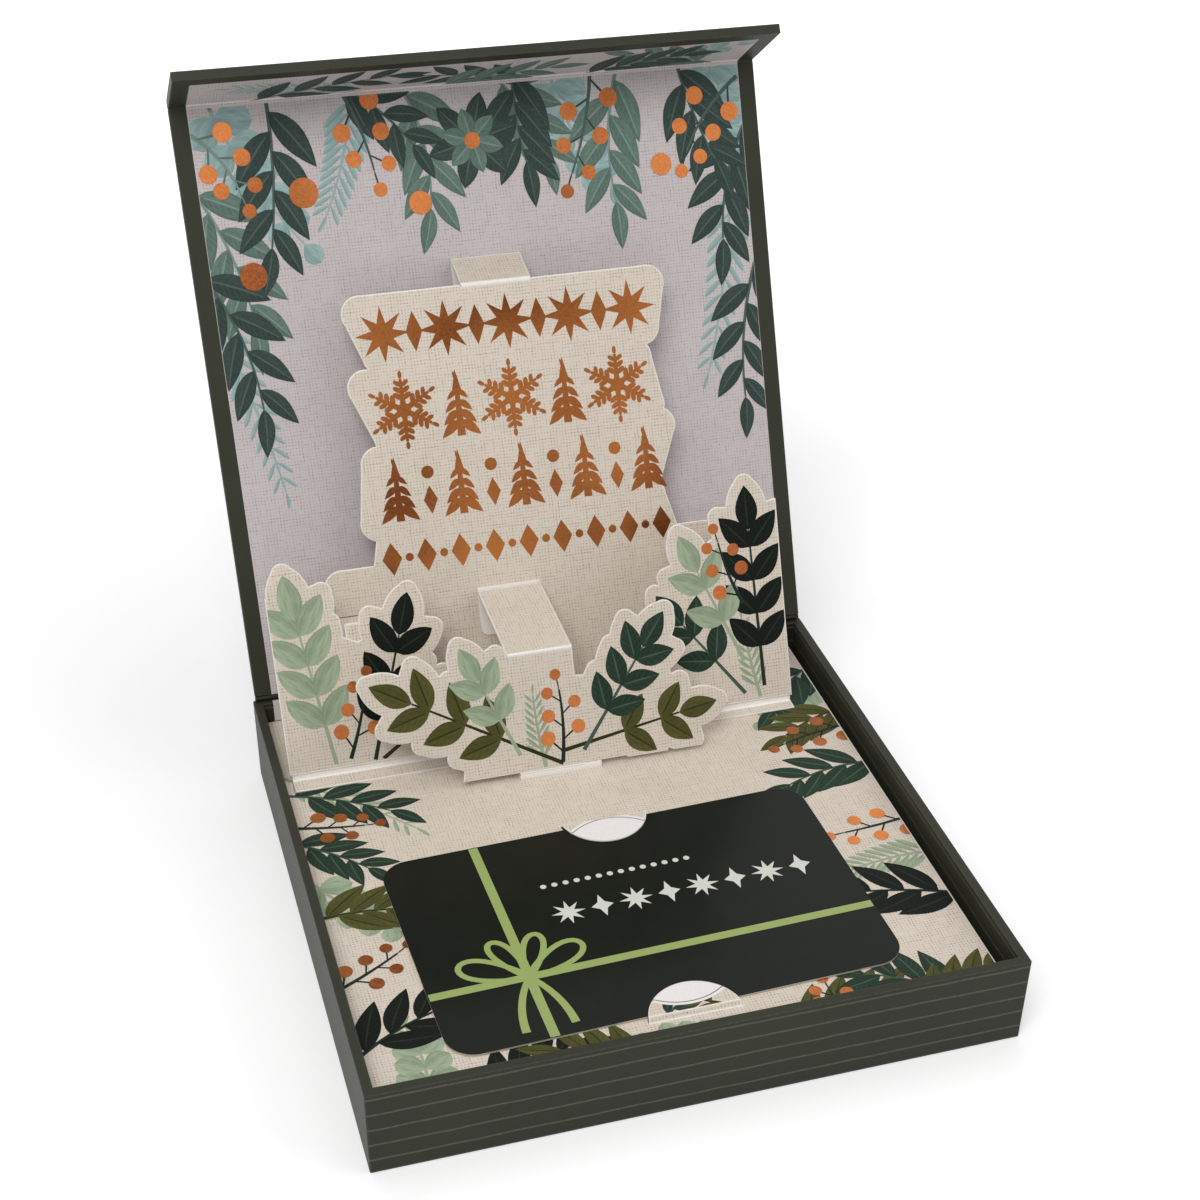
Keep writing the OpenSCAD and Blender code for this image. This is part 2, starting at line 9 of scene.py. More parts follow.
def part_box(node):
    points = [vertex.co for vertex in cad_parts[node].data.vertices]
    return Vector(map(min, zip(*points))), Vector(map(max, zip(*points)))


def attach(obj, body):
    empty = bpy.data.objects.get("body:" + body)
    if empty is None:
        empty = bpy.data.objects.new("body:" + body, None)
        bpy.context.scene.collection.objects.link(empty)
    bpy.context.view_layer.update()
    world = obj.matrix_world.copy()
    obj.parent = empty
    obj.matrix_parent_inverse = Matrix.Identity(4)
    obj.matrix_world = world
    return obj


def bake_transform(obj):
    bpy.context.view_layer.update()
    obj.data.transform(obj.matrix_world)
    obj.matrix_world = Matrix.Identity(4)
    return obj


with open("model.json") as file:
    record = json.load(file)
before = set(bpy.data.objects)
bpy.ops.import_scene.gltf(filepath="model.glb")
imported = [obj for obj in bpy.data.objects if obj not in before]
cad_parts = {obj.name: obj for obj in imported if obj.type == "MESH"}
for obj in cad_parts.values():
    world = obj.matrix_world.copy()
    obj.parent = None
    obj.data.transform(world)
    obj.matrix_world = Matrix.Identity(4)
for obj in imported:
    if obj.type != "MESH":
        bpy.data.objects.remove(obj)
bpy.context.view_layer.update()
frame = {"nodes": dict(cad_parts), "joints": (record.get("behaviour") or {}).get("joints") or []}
MM = 0.001

# Wrapping paper of the tray, the lid and the flap
# Dark green printed paper with thin pinstripes, matt laminated and glued round greyboard.
# The laminate rubs pale where the board's edges press it out.


def linear(code):
    """An sRGB hex colour as the linear colour that a shader wants."""
    parts = [int(code[i:i + 2], 16) / 255 for i in (1, 3, 5)]
    return tuple(c / 12.92 if c <= 0.04045 else ((c + 0.055) / 1.055) ** 2.4 for c in parts) + (1.0,)


def add(tree, kind, links=None, **settings):
    """Adds a node. A setting is one of its own properties or an input, and a link feeds an input."""
    node = tree.nodes.new(kind)
    for name, value in settings.items():
        if hasattr(node, name):
            setattr(node, name, value)
        else:
            node.inputs[int(name[1:]) if name[1:].isdigit() else name.replace("_", " ")].default_value = value
    for name, socket in (links or {}).items():
        tree.links.new(socket, node.inputs[name])
    return node


def new_finish(name, **settings):
    """A material with one Principled shader: its node tree and the shader."""
    material = bpy.data.materials.new(name)
    material.use_nodes = True
    tree = material.node_tree
    shader = tree.nodes["Principled BSDF"]
    for key, value in settings.items():
        shader.inputs[key.replace("_", " ")].default_value = value
    return material, tree, shader


def paper_plane(tree, tilt):
    """Coordinates in millimetres across and up a sheet that is tilted up by tilt degrees from lying flat."""
    place = add(tree, "ShaderNodeTexCoord").outputs["Object"]
    turned = add(tree, "ShaderNodeMapping", {"Vector": place}, vector_type="POINT",
                 Rotation=(math.radians(-tilt), 0, 0))
    scaled = add(tree, "ShaderNodeVectorMath", {0: turned.outputs[0]}, operation="SCALE", Scale=1 / MM)
    return scaled.outputs[0]


def faces_up(tree, tilt):
    """How a point of such a sheet faces: 1 out of its upper side, 0 on its cut edges, -1 out of its back."""
    normal = add(tree, "ShaderNodeTexCoord").outputs["Normal"]
    turned = add(tree, "ShaderNodeMapping", {"Vector": normal}, vector_type="NORMAL",
                 Rotation=(math.radians(-tilt), 0, 0))
    return add(tree, "ShaderNodeSeparateXYZ", {0: turned.outputs[0]}).outputs[2]


# Its mask gives rubbed wear on the wrapping paper, and a painted highlight along the cards' cut edges.
def edge_wear_and_highlight(tree, radius, full=0.8):
    """A mask, from 0 on the flat to 1 along sharp edges, and the normal of the edges rounded to the radius.

    The mask reaches 1 where the cosine between the rounded normal and the flat one is down to full.
    """
    rounded = add(tree, "ShaderNodeBevel", samples=6, Radius=radius * MM)
    flat = add(tree, "ShaderNodeNewGeometry")
    same = add(tree, "ShaderNodeVectorMath", {0: rounded.outputs[0], 1: flat.outputs["Normal"]},
               operation="DOT_PRODUCT")
    mask = add(tree, "ShaderNodeMapRange", {"Value": same.outputs["Value"]}, From_Min=1.0, From_Max=full)
    return mask.outputs[0], rounded.outputs[0]


# The pinstripes in millimetres: from one to the next, the width of one, and how far it wanders from straight
STRIPE_PITCH = 3.57
STRIPE_WIDTH = 0.42
STRIPE_WANDER = 0.5


def wrapping_paper(name, tilt, stripe_along, stripe_start, outside_only=False):
    """Matt laminated print, near black with faint pale pinstripes, and rubbed grey along its edges.

    The stripes are counted from stripe_start along one of the sheet's own axes.
    """
    material, tree, shader = new_finish(name, Roughness=0.5, Specular_IOR_Level=0.16)
    plane = paper_plane(tree, tilt)
    axis = add(tree, "ShaderNodeSeparateXYZ", {0: plane}).outputs[stripe_along]
    fibre = add(tree, "ShaderNodeTexNoise", {"Vector": plane}, Scale=1.6, Detail=6.0, Roughness=0.7)
    wavy = add(tree, "ShaderNodeTexNoise", {"Vector": plane}, Scale=0.12, Detail=1.0)
    bent = add(tree, "ShaderNodeMath", {0: wavy.outputs[0], 2: axis}, operation="MULTIPLY_ADD",
               _1=STRIPE_WANDER)
    counted = add(tree, "ShaderNodeMath", {0: bent.outputs[0]}, operation="SUBTRACT",
                  _1=stripe_start + STRIPE_WANDER / 2)
    step = add(tree, "ShaderNodeMath", {0: counted.outputs[0]}, operation="PINGPONG", _1=STRIPE_PITCH / 2)
    line = add(tree, "ShaderNodeMapRange", {"Value": step.outputs[0]}, interpolation_type="SMOOTHSTEP",
               From_Min=STRIPE_WIDTH * 0.7, From_Max=STRIPE_WIDTH * 0.2)
    mottle = add(tree, "ShaderNodeTexNoise", {"Vector": plane}, Scale=0.05, Detail=3.0)
    base = add(tree, "ShaderNodeMix", {0: mottle.outputs[0]}, data_type="RGBA",
               _6=linear("#2B2C23"), _7=linear("#35362B"))
    share = add(tree, "ShaderNodeMath", {0: line.outputs[0], 1: fibre.outputs[0]}, operation="MULTIPLY")
    if outside_only:
        outer = add(tree, "ShaderNodeMath", {0: faces_up(tree, tilt)}, operation="LESS_THAN", _1=-0.5)
        share = add(tree, "ShaderNodeMath", {0: share.outputs[0], 1: outer.outputs[0]}, operation="MULTIPLY")
    striped = add(tree, "ShaderNodeMix", {0: share.outputs[0], 6: base.outputs[2]}, data_type="RGBA",
                  _7=linear("#676B5E"))
    rub, rounded = edge_wear_and_highlight(tree, 0.35)
    patchy = add(tree, "ShaderNodeMapRange", {"Value": fibre.outputs[0]}, From_Min=0.38, From_Max=0.62,
                 To_Min=0.1, To_Max=0.4)
    worn = add(tree, "ShaderNodeMath", {0: rub, 1: patchy.outputs[0]}, operation="MULTIPLY")
    colour = add(tree, "ShaderNodeMix", {0: worn.outputs[0], 6: striped.outputs[2]}, data_type="RGBA",
                 _7=linear("#7C7F76"))
    grain = add(tree, "ShaderNodeBump", {"Height": fibre.outputs[0], "Normal": rounded},
                Strength=0.25, Distance=0.02 * MM)
    tree.links.new(colour.outputs[2], shader.inputs["Base Color"])
    tree.links.new(grain.outputs[0], shader.inputs["Normal"])
    return material


def dress(nodes, material):
    """Gives CAD pieces a finish, in place of the plain one that they come with."""
    for name in nodes:
        for slot in frame["nodes"][name].material_slots:
            slot.material = material


# In degrees at rest: the lid leans back from upright, which gives its tilt, and the flap folds on from there
LEAN = 24.0
STAND = 90.0 - LEAN
FLAP_FOLD = 80.0
# From the tray's rim down to its first pinstripe, in millimetres
FIRST_STRIPE = 1.0
rim_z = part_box("tray_wrap")[1][2] / MM

tray_paper = wrapping_paper("laminated_paper_tray", 0, 2, rim_z - FIRST_STRIPE)
lid_paper = wrapping_paper("laminated_paper_lid", STAND, 1, 0.0, outside_only=True)
flap_paper = wrapping_paper("laminated_paper_flap", STAND + FLAP_FOLD, 1, 0.0, outside_only=True)
dress(["tray_wrap", "base_sheet", "hinge_paper"], tray_paper)
dress(["lid_wrap", "flap_crease"], lid_paper)
dress(["flap_wrap"], flap_paper)

# Greyboard, steel discs and magnets inside the wrap
# Recycled board of grey fibres, pressed flat, with nickelled magnets and pressed steel discs let in.


def greyboard():
    """Recycled board pressed from waste paper: quite matt, its fibres mixed from light and dark greys."""
    material, tree, shader = new_finish("pressed_greyboard", Roughness=0.9, Specular_IOR_Level=0.3)
    plane = paper_plane(tree, 0)
    fibre = add(tree, "ShaderNodeTexNoise", {"Vector": plane}, Scale=2.5, Detail=8.0, Roughness=0.75)
    colour = add(tree, "ShaderNodeMix", {0: fibre.outputs[0]}, data_type="RGBA",
                 _6=linear("#6F6A61"), _7=linear("#A39C90"))
    bump = add(tree, "ShaderNodeBump", {"Height": fibre.outputs[0]}, Strength=0.5, Distance=0.05 * MM)
    tree.links.new(colour.outputs[2], shader.inputs["Base Color"])
    tree.links.new(bump.outputs[0], shader.inputs["Normal"])
    return material


def plated_metal(name, code, rough):
    """Pressed or nickel-plated metal, tumbled, so that its gloss is soft and a little uneven."""
    material, tree, shader = new_finish(name, Metallic=1.0)
    plane = paper_plane(tree, 0)
    brushed = add(tree, "ShaderNodeTexNoise", {"Vector": plane}, Scale=3.0, Detail=5.0)
    colour = add(tree, "ShaderNodeMix", {0: brushed.outputs[0]}, data_type="RGBA",
                 _6=linear(code), _7=linear("#C9C9C7"))
    shade = add(tree, "ShaderNodeMapRange", {"Value": brushed.outputs[0]},
                To_Min=rough * 0.7, To_Max=rough * 1.4)
    tree.links.new(colour.outputs[2], shader.inputs["Base Color"])
    tree.links.new(shade.outputs[0], shader.inputs["Roughness"])
    return material


dress(["base_board", "front_wall_board", "back_wall_board", "left_wall_board", "right_wall_board",
       "lid_board", "flap_board"], greyboard())
dress(["strike_discs"], plated_metal("pressed_steel", "#8B8F92", 0.4))
dress(["flap_magnets"], plated_metal("nickel_plate", "#A9A8A5", 0.25))

# Linen-print papers and cards
# Coated paper and card printed with the picture of a loose linen weave: a fine grid of threads, with dark
# pores where the gaps cross. The lid's paper is cooler and greyer, the cards are cream.
# Cut edges and backs are bare white card; along them the die presses a smooth, rounded rim, whose pale colour
# is a painted highlight.

# From thread to thread in millimetres. It is a little more than in the real print, so that the weave shows.
THREAD = 0.64


def linen_print(name, tilt, ground, pale, fleck, rough, rim):
    """Satin coated stock: cloudy and pale, with thin dark threads that come and go, and dots between them."""
    material, tree, shader = new_finish(name, Specular_IOR_Level=0.4)
    plane = paper_plane(tree, tilt)
    slack = add(tree, "ShaderNodeTexNoise", {"Vector": plane}, Scale=0.5, Detail=2.0)
    shifted = add(tree, "ShaderNodeVectorMath", {0: slack.outputs["Color"], 2: plane},
                  operation="MULTIPLY_ADD", _1=(0.5, 0.5, 0.0))
    sides = add(tree, "ShaderNodeSeparateXYZ", {0: shifted.outputs[0]}).outputs
    gaps, thin = [], []
    for k, stretch in ((0, (1, 0.12, 1)), (1, (0.12, 1, 1))):
        near = add(tree, "ShaderNodeMath", {0: sides[k]}, operation="PINGPONG", _1=THREAD / 2)
        gap = add(tree, "ShaderNodeMapRange", {"Value": near.outputs[0]}, interpolation_type="SMOOTHSTEP",
                  From_Min=THREAD * 0.32, From_Max=THREAD * 0.05)
        gaps.append(gap.outputs[0])
        drawn = add(tree, "ShaderNodeVectorMath", {0: plane}, operation="MULTIPLY", _1=stretch)
        yarn = add(tree, "ShaderNodeTexNoise", {"Vector": drawn.outputs[0]}, Scale=1.3 / THREAD, Detail=1.0)
        share = add(tree, "ShaderNodeMapRange", {"Value": yarn.outputs[0]}, From_Min=0.46, From_Max=0.68)
        thin.append(share.outputs[0])
    pores = add(tree, "ShaderNodeMath", {0: gaps[0], 1: gaps[1]}, operation="MULTIPLY")
    runs = [add(tree, "ShaderNodeMath", {0: gap, 1: share}, operation="MULTIPLY").outputs[0]
            for gap, share in zip(gaps, thin)]
    run = add(tree, "ShaderNodeMath", {0: runs[0], 1: runs[1]}, operation="MAXIMUM")
    fuzz = add(tree, "ShaderNodeTexNoise", {"Vector": plane}, Scale=0.9, Detail=2.0)
    open_share = add(tree, "ShaderNodeMapRange", {"Value": fuzz.outputs[0]}, From_Min=0.4, From_Max=0.62,
                     To_Min=0.1, To_Max=0.85)
    pore = add(tree, "ShaderNodeMath", {0: pores.outputs[0], 1: open_share.outputs[0]}, operation="MULTIPLY")
    dark = add(tree, "ShaderNodeMath", {0: run.outputs[0], 2: pore.outputs[0]}, operation="MULTIPLY_ADD",
               _1=0.26, use_clamp=True)
    cloudy = add(tree, "ShaderNodeTexNoise", {"Vector": plane}, Scale=0.12, Detail=2.0)
    paled = add(tree, "ShaderNodeMix", {0: cloudy.outputs[0]}, data_type="RGBA",
                _6=linear(ground), _7=linear(pale))
    woven = add(tree, "ShaderNodeMix", {0: dark.outputs[0], 6: paled.outputs[2]}, data_type="RGBA",
                _7=linear(fleck))
    face = add(tree, "ShaderNodeMath", {0: faces_up(tree, tilt)}, operation="GREATER_THAN", _1=0.5)
    colour = add(tree, "ShaderNodeMix", {0: face.outputs[0], 7: woven.outputs[2]}, data_type="RGBA",
                 _6=linear("#E4DED6"))
    relief = add(tree, "ShaderNodeBump", {"Height": dark.outputs[0]}, Strength=0.12, Distance=-0.02 * MM)
    if rim:
        # The pale band along cut edges is a painted highlight, the light caught by the rounded rim; the
        # rounded normal also shades it.
        painted_rim_highlight, rounded = edge_wear_and_highlight(tree, 0.55, full=0.93)
        colour = add(tree, "ShaderNodeMix", {0: painted_rim_highlight, 6: colour.outputs[2]}, data_type="RGBA",
                     _7=linear("#FFFAF3"))
        tree.links.new(rounded, relief.inputs["Normal"])
    sheen = add(tree, "ShaderNodeMapRange", {"Value": dark.outputs[0]}, To_Min=rough, To_Max=rough + 0.15)
    tree.links.new(colour.outputs[2], shader.inputs["Base Color"])
    tree.links.new(sheen.outputs[0], shader.inputs["Roughness"])
    tree.links.new(relief.outputs[0], shader.inputs["Normal"])
    return material


def plain_card(name, code, rough):
    """Unprinted white card or paper, faintly mottled with short fibres."""
    material, tree, shader = new_finish(name, Specular_IOR_Level=0.4)
    plane = paper_plane(tree, 0)
    fibre = add(tree, "ShaderNodeTexNoise", {"Vector": plane}, Scale=1.5, Detail=6.0, Roughness=0.7)
    colour = add(tree, "ShaderNodeMix", {0: fibre.outputs[0]}, data_type="RGBA",
                 _6=linear(code), _7=linear("#F3EFEA"))
    shade = add(tree, "ShaderNodeMapRange", {"Value": fibre.outputs[0]}, To_Min=rough, To_Max=rough + 0.15)
    tree.links.new(colour.outputs[2], shader.inputs["Base Color"])
    tree.links.new(shade.outputs[0], shader.inputs["Roughness"])
    return material


CREAM = {"ground": "#CFC3B4", "pale": "#DACFC1", "fleck": "#8F8373"}
COOL = {"ground": "#BCB3B2", "pale": "#C6BEBE", "fleck": "#8B8281"}
dress(["platform", "left_panel_tab", "right_panel_tab", "front_panel_tab", "plaque_tab",
       "top_strap", "front_strap", "left_strap", "right_strap"],
      linen_print("linen_print_card_flat", 0, rough=0.42, rim=True, **CREAM))
dress(["plaque", "front_panel", "left_panel", "right_panel", "left_strap_tab", "right_strap_tab"],
      linen_print("linen_print_card_standing", STAND, rough=0.42, rim=True, **CREAM))
dress(["lid_liner"], linen_print("linen_print_paper_lid", STAND, rough=0.5, rim=False, **COOL))
dress(["flap_liner"], linen_print("linen_print_paper_flap", STAND + FLAP_FOLD, rough=0.5, rim=False, **COOL))
dress(["hinge_lining"], linen_print("linen_print_paper_hinge", 0, rough=0.5, rim=False, **COOL))
dress(["top_strap_tab", "front_strap_tab"], plain_card("uncoated_white_card", "#DDD7D2", 0.5))
dress(["floor_lining"], plain_card("uncoated_white_paper", "#D9D6CF", 0.6))

# Printed leaves, stems and foil dots
# Flat inks under the laminate, painted in the soft, streaky way of a gouache sprig, and copper foil pressed
# on with heat. Each shape is a skin of ink about a hundredth of a millimetre above the paper it is on.

# In millimetres: the first skin's lift, and from one to the next. A sprig takes four: stem, leaves and seeds.
INK_LIFT = 0.012
INK_STEP = 0.0008
SPRIG_STEPS = 4


def leaf_ink(name, code, vein, veined=1.0):
    """Offset ink that looks like gouache: satin, streaked along the leaf, with painted veins.

    The UV map gives millimetres along a leaf, and -1 to 1 across it.
    """
    material, tree, shader = new_finish(name, Specular_IOR_Level=0.08)
    on_leaf = add(tree, "ShaderNodeUVMap", uv_map="ink").outputs[0]
    along, across, _ = add(tree, "ShaderNodeSeparateXYZ", {0: on_leaf}).outputs
    flat = add(tree, "ShaderNodeCombineXYZ", {0: along, 1: across})
    stretched = add(tree, "ShaderNodeVectorMath", {0: flat.outputs[0]}, operation="MULTIPLY",
                    _1=(0.22, 2.6, 1))
    streak = add(tree, "ShaderNodeTexNoise", {"Vector": stretched.outputs[0]}, Scale=1.4, Detail=4.0)
    half = add(tree, "ShaderNodeMath", {0: across}, operation="ABSOLUTE")
    rib = add(tree, "ShaderNodeMapRange", {"Value": half.outputs[0]}, From_Min=0.11, From_Max=0.05)
    slanted = add(tree, "ShaderNodeMath", {0: half.outputs[0], 2: along}, operation="MULTIPLY_ADD", _1=-1.9)
    comb = add(tree, "ShaderNodeMath", {0: slanted.outputs[0]}, operation="PINGPONG", _1=0.7)
    side_vein = add(tree, "ShaderNodeMapRange", {"Value": comb.outputs[0]}, From_Min=0.13, From_Max=0.04,
                    To_Max=0.4)
    lines = add(tree, "ShaderNodeMath", {0: rib.outputs[0], 1: side_vein.outputs[0]}, operation="MAXIMUM")
    drawn = add(tree, "ShaderNodeMath", {0: lines.outputs[0]}, operation="MULTIPLY", _1=veined)
    tone = add(tree, "ShaderNodeMapRange", {"Value": streak.outputs[0]}, From_Min=0.3, From_Max=0.7,
               To_Min=0.78, To_Max=1.2)
    lit_half = add(tree, "ShaderNodeMapRange", {"Value": across}, From_Min=-0.06, From_Max=0.06,
                   To_Min=0.9, To_Max=1.1)
    both = add(tree, "ShaderNodeMath", {0: tone.outputs[0], 1: lit_half.outputs[0]}, operation="MULTIPLY")
    ink = add(tree, "ShaderNodeVectorMath", {"Scale": both.outputs[0]}, operation="SCALE",
              _0=linear(code)[:3])
    colour = add(tree, "ShaderNodeMix", {0: drawn.outputs[0], 6: ink.outputs[0]}, data_type="RGBA",
                 _7=linear(vein))
    shade = add(tree, "ShaderNodeMapRange", {"Value": streak.outputs[0]}, To_Min=0.38, To_Max=0.55)
    tree.links.new(colour.outputs[2], shader.inputs["Base Color"])
    tree.links.new(shade.outputs[0], shader.inputs["Roughness"])
    return material


def copper_foil(name, deep, bright):
    """Hot-stamped metal film that takes up the paper's tooth, so that it is bright in some places only. Broad
    patches, darker on some shapes and brighter on others, are painted reflection.
    """
    material, tree, shader = new_finish(name, Metallic=1.0)
    plane = paper_plane(tree, 0)
    tooth = add(tree, "ShaderNodeTexNoise", {"Vector": plane}, Scale=2.2, Detail=4.0)
    # Broad patches of darker and brighter foil colour: painted reflection.
    painted_reflection_patches = add(tree, "ShaderNodeTexNoise", {"Vector": plane}, Scale=0.03, Detail=1.0)
    mixed = add(tree, "ShaderNodeMath", {0: tooth.outputs[0], 2: painted_reflection_patches.outputs[0]}, operation="MULTIPLY_ADD",
                _1=0.3)
    tone = add(tree, "ShaderNodeMapRange", {"Value": mixed.outputs[0]}, From_Min=0.44, From_Max=0.9)
    colour = add(tree, "ShaderNodeMix", {0: tone.outputs[0]}, data_type="RGBA",
                 _6=linear(deep), _7=linear(bright))
    crinkle = add(tree, "ShaderNodeBump", {"Height": tooth.outputs[0]}, Strength=0.5, Distance=0.04 * MM)
    shade = add(tree, "ShaderNodeMapRange", {"Value": tooth.outputs[0]}, To_Min=0.22, To_Max=0.42)
    tree.links.new(colour.outputs[2], shader.inputs["Base Color"])
    tree.links.new(shade.outputs[0], shader.inputs["Roughness"])
    tree.links.new(crinkle.outputs[0], shader.inputs["Normal"])
    return material


INKS = {
    "spruce": leaf_ink("ink_spruce", "#36433F", "#55675F", 0.7),
    "teal": leaf_ink("ink_teal", "#5D7268", "#7C9186", 0.9),
    "mist": leaf_ink("ink_mist", "#8CA6A4", "#9AB2AF", 0.4),
    "olive": leaf_ink("ink_olive", "#4F4E28", "#2A2A14", 0.9),
    "sage": leaf_ink("ink_sage", "#94A389", "#A3B098", 0.4),
    "forest": leaf_ink("ink_forest", "#25362A", "#4E6154", 0.7),
    "night": leaf_ink("ink_night", "#10150F", "#27332A", 0.7),
    "copper": copper_foil("hot_stamped_copper_foil", "#80472A", "#D8854B"),
    "bronze": copper_foil("hot_stamped_bronze_foil", "#60351D", "#B06D3A"),
}


def leafy_stem_tree():
    """Geometry Nodes for a sprig: leaves set along a bending stem, with seeds of foil at their ends."""
    tree = bpy.data.node_groups.new("leafy_stem", "GeometryNodeTree")
    tree.interface.new_socket("Geometry", in_out="OUTPUT", socket_type="NodeSocketGeometry")
    for name, kind in (("Root", "Vector"), ("Angle", "Float"), ("Bend", "Float"), ("Run", "Float"),
                       ("Stem Width", "Float"), ("Leaves", "Int"), ("First", "Float"), ("Gap", "Float"),
                       ("Paired", "Float"), ("Spread", "Float"), ("Length", "Float"), ("Width", "Float"),
                       ("Fullness", "Float"), ("Point", "Float"), ("Curl", "Float"), ("Taper", "Float"),
                       ("Seed", "Float"), ("Ink", "Material"), ("Foil", "Material")):
        tree.interface.new_socket(name, in_out="INPUT", socket_type="NodeSocket" + kind)
    sizes = add(tree, "NodeGroupInput").outputs

    def on_arc(t):
        """Where the stem is at a share t of its run, and which way it heads there."""
        heading = add(tree, "ShaderNodeMath", {0: t, 1: sizes["Bend"], 2: sizes["Angle"]},
                      operation="MULTIPLY_ADD").outputs[0]
        reach = add(tree, "ShaderNodeMath", {0: sizes["Run"], 1: sizes["Bend"]},
                    operation="DIVIDE").outputs[0]
        ends = [add(tree, "ShaderNodeMath", {0: angle}, operation=way).outputs[0]
                for angle, way in ((heading, "SINE"), (sizes["Angle"], "SINE"),
                                   (sizes["Angle"], "COSINE"), (heading, "COSINE"))]
        across = add(tree, "ShaderNodeMath", {0: ends[0], 1: ends[1]}, operation="SUBTRACT").outputs[0]
        up = add(tree, "ShaderNodeMath", {0: ends[2], 1: ends[3]}, operation="SUBTRACT").outputs[0]
        way = add(tree, "ShaderNodeCombineXYZ", {0: across, 1: up}).outputs[0]
        spot = add(tree, "ShaderNodeVectorMath", {0: way, "Scale": reach}, operation="SCALE").outputs[0]
        return add(tree, "ShaderNodeVectorMath", {0: spot, 1: sizes["Root"]}).outputs[0], heading

    index = add(tree, "GeometryNodeInputIndex").outputs[0]
    # Stem: a flat line that thins towards its tip
    t_stem = add(tree, "GeometryNodeSplineParameter").outputs["Factor"]
    line = add(tree, "GeometryNodeCurvePrimitiveLine")
    fine = add(tree, "GeometryNodeResampleCurve", {"Curve": line.outputs[0]}, Count=16)
    stem = add(tree, "GeometryNodeSetPosition", {"Geometry": fine.outputs[0], "Position": on_arc(t_stem)[0]})
    thinner = add(tree, "ShaderNodeMapRange", {"Value": t_stem}, To_Min=0.5, To_Max=0.22)
    half = add(tree, "ShaderNodeMath", {0: thinner.outputs[0], 1: sizes["Stem Width"]}, operation="MULTIPLY")
    profile = add(tree, "GeometryNodeCurvePrimitiveLine", Start=(-1, 0, 0), End=(1, 0, 0))
    upright = add(tree, "GeometryNodeSetCurveNormal", {"Curve": stem.outputs[0]}, mode="Z_UP")
    ribbon = add(tree, "GeometryNodeCurveToMesh",
                 {"Curve": upright.outputs[0], "Profile Curve": profile.outputs[0], "Scale": half.outputs[0]})
    # Leaf: a grid drawn out to the leaf's length and pinched to its outline
    grid = add(tree, "GeometryNodeMeshGrid", Size_X=1.0, Size_Y=2.0, Vertices_X=10, Vertices_Y=3)
    at = add(tree, "ShaderNodeSeparateXYZ", {0: add(tree, "GeometryNodeInputPosition").outputs[0]}).outputs
    u = add(tree, "ShaderNodeMath", {0: at[0]}, operation="ADD", _1=0.5, use_clamp=True).outputs[0]
    out = add(tree, "ShaderNodeMath", {0: u, 1: sizes["Length"]}, operation="MULTIPLY").outputs[0]
    mapped = add(tree, "GeometryNodeStoreNamedAttribute",
                 {"Geometry": grid.outputs[0],
                  "Value": add(tree, "ShaderNodeCombineXYZ", {0: out, 1: at[1]}).outputs[0]},
                 data_type="FLOAT2", domain="CORNER", Name="ink")
    fuller = add(tree, "ShaderNodeMath", {0: u, 1: sizes["Fullness"]}, operation="POWER").outputs[0]
    turn = add(tree, "ShaderNodeMath", {0: fuller}, operation="MULTIPLY", _1=math.pi).outputs[0]
    swell = add(tree, "ShaderNodeMath", {0: turn}, operation="SINE", use_clamp=True).outputs[0]
    outline = add(tree, "ShaderNodeMath", {0: swell, 1: sizes["Point"]}, operation="POWER").outputs[0]
    wide = add(tree, "ShaderNodeMath", {0: outline, 1: sizes["Width"]}, operation="MULTIPLY").outputs[0]
    aside = add(tree, "ShaderNodeMath", {0: at[1], 1: wide}, operation="MULTIPLY").outputs[0]
    halved = add(tree, "ShaderNodeMath", {0: aside}, operation="MULTIPLY", _1=0.5).outputs[0]
    squared = add(tree, "ShaderNodeMath", {0: u, 1: u}, operation="MULTIPLY").outputs[0]
    curled = add(tree, "ShaderNodeMath", {0: squared, 1: sizes["Curl"], 2: halved},
                 operation="MULTIPLY_ADD").outputs[0]
    leaf = add(tree, "GeometryNodeSetPosition",
               {"Geometry": mapped.outputs[0],
                "Position": add(tree, "ShaderNodeCombineXYZ", {0: out, 1: curled}).outputs[0]})
    leaf = add(tree, "GeometryNodeMergeByDistance", {"Geometry": leaf.outputs[0]}, Distance=1e-4)
    disc = add(tree, "GeometryNodeMeshCircle", {"Radius": sizes["Seed"]}, Vertices=18, fill_type="NGON")
    seed_at = add(tree, "ShaderNodeCombineXYZ", {0: sizes["Length"], 1: sizes["Curl"]}, Z=INK_STEP / 4)
    seed = add(tree, "GeometryNodeTransform",
               {"Geometry": disc.outputs[0], "Translation": seed_at.outputs[0]})
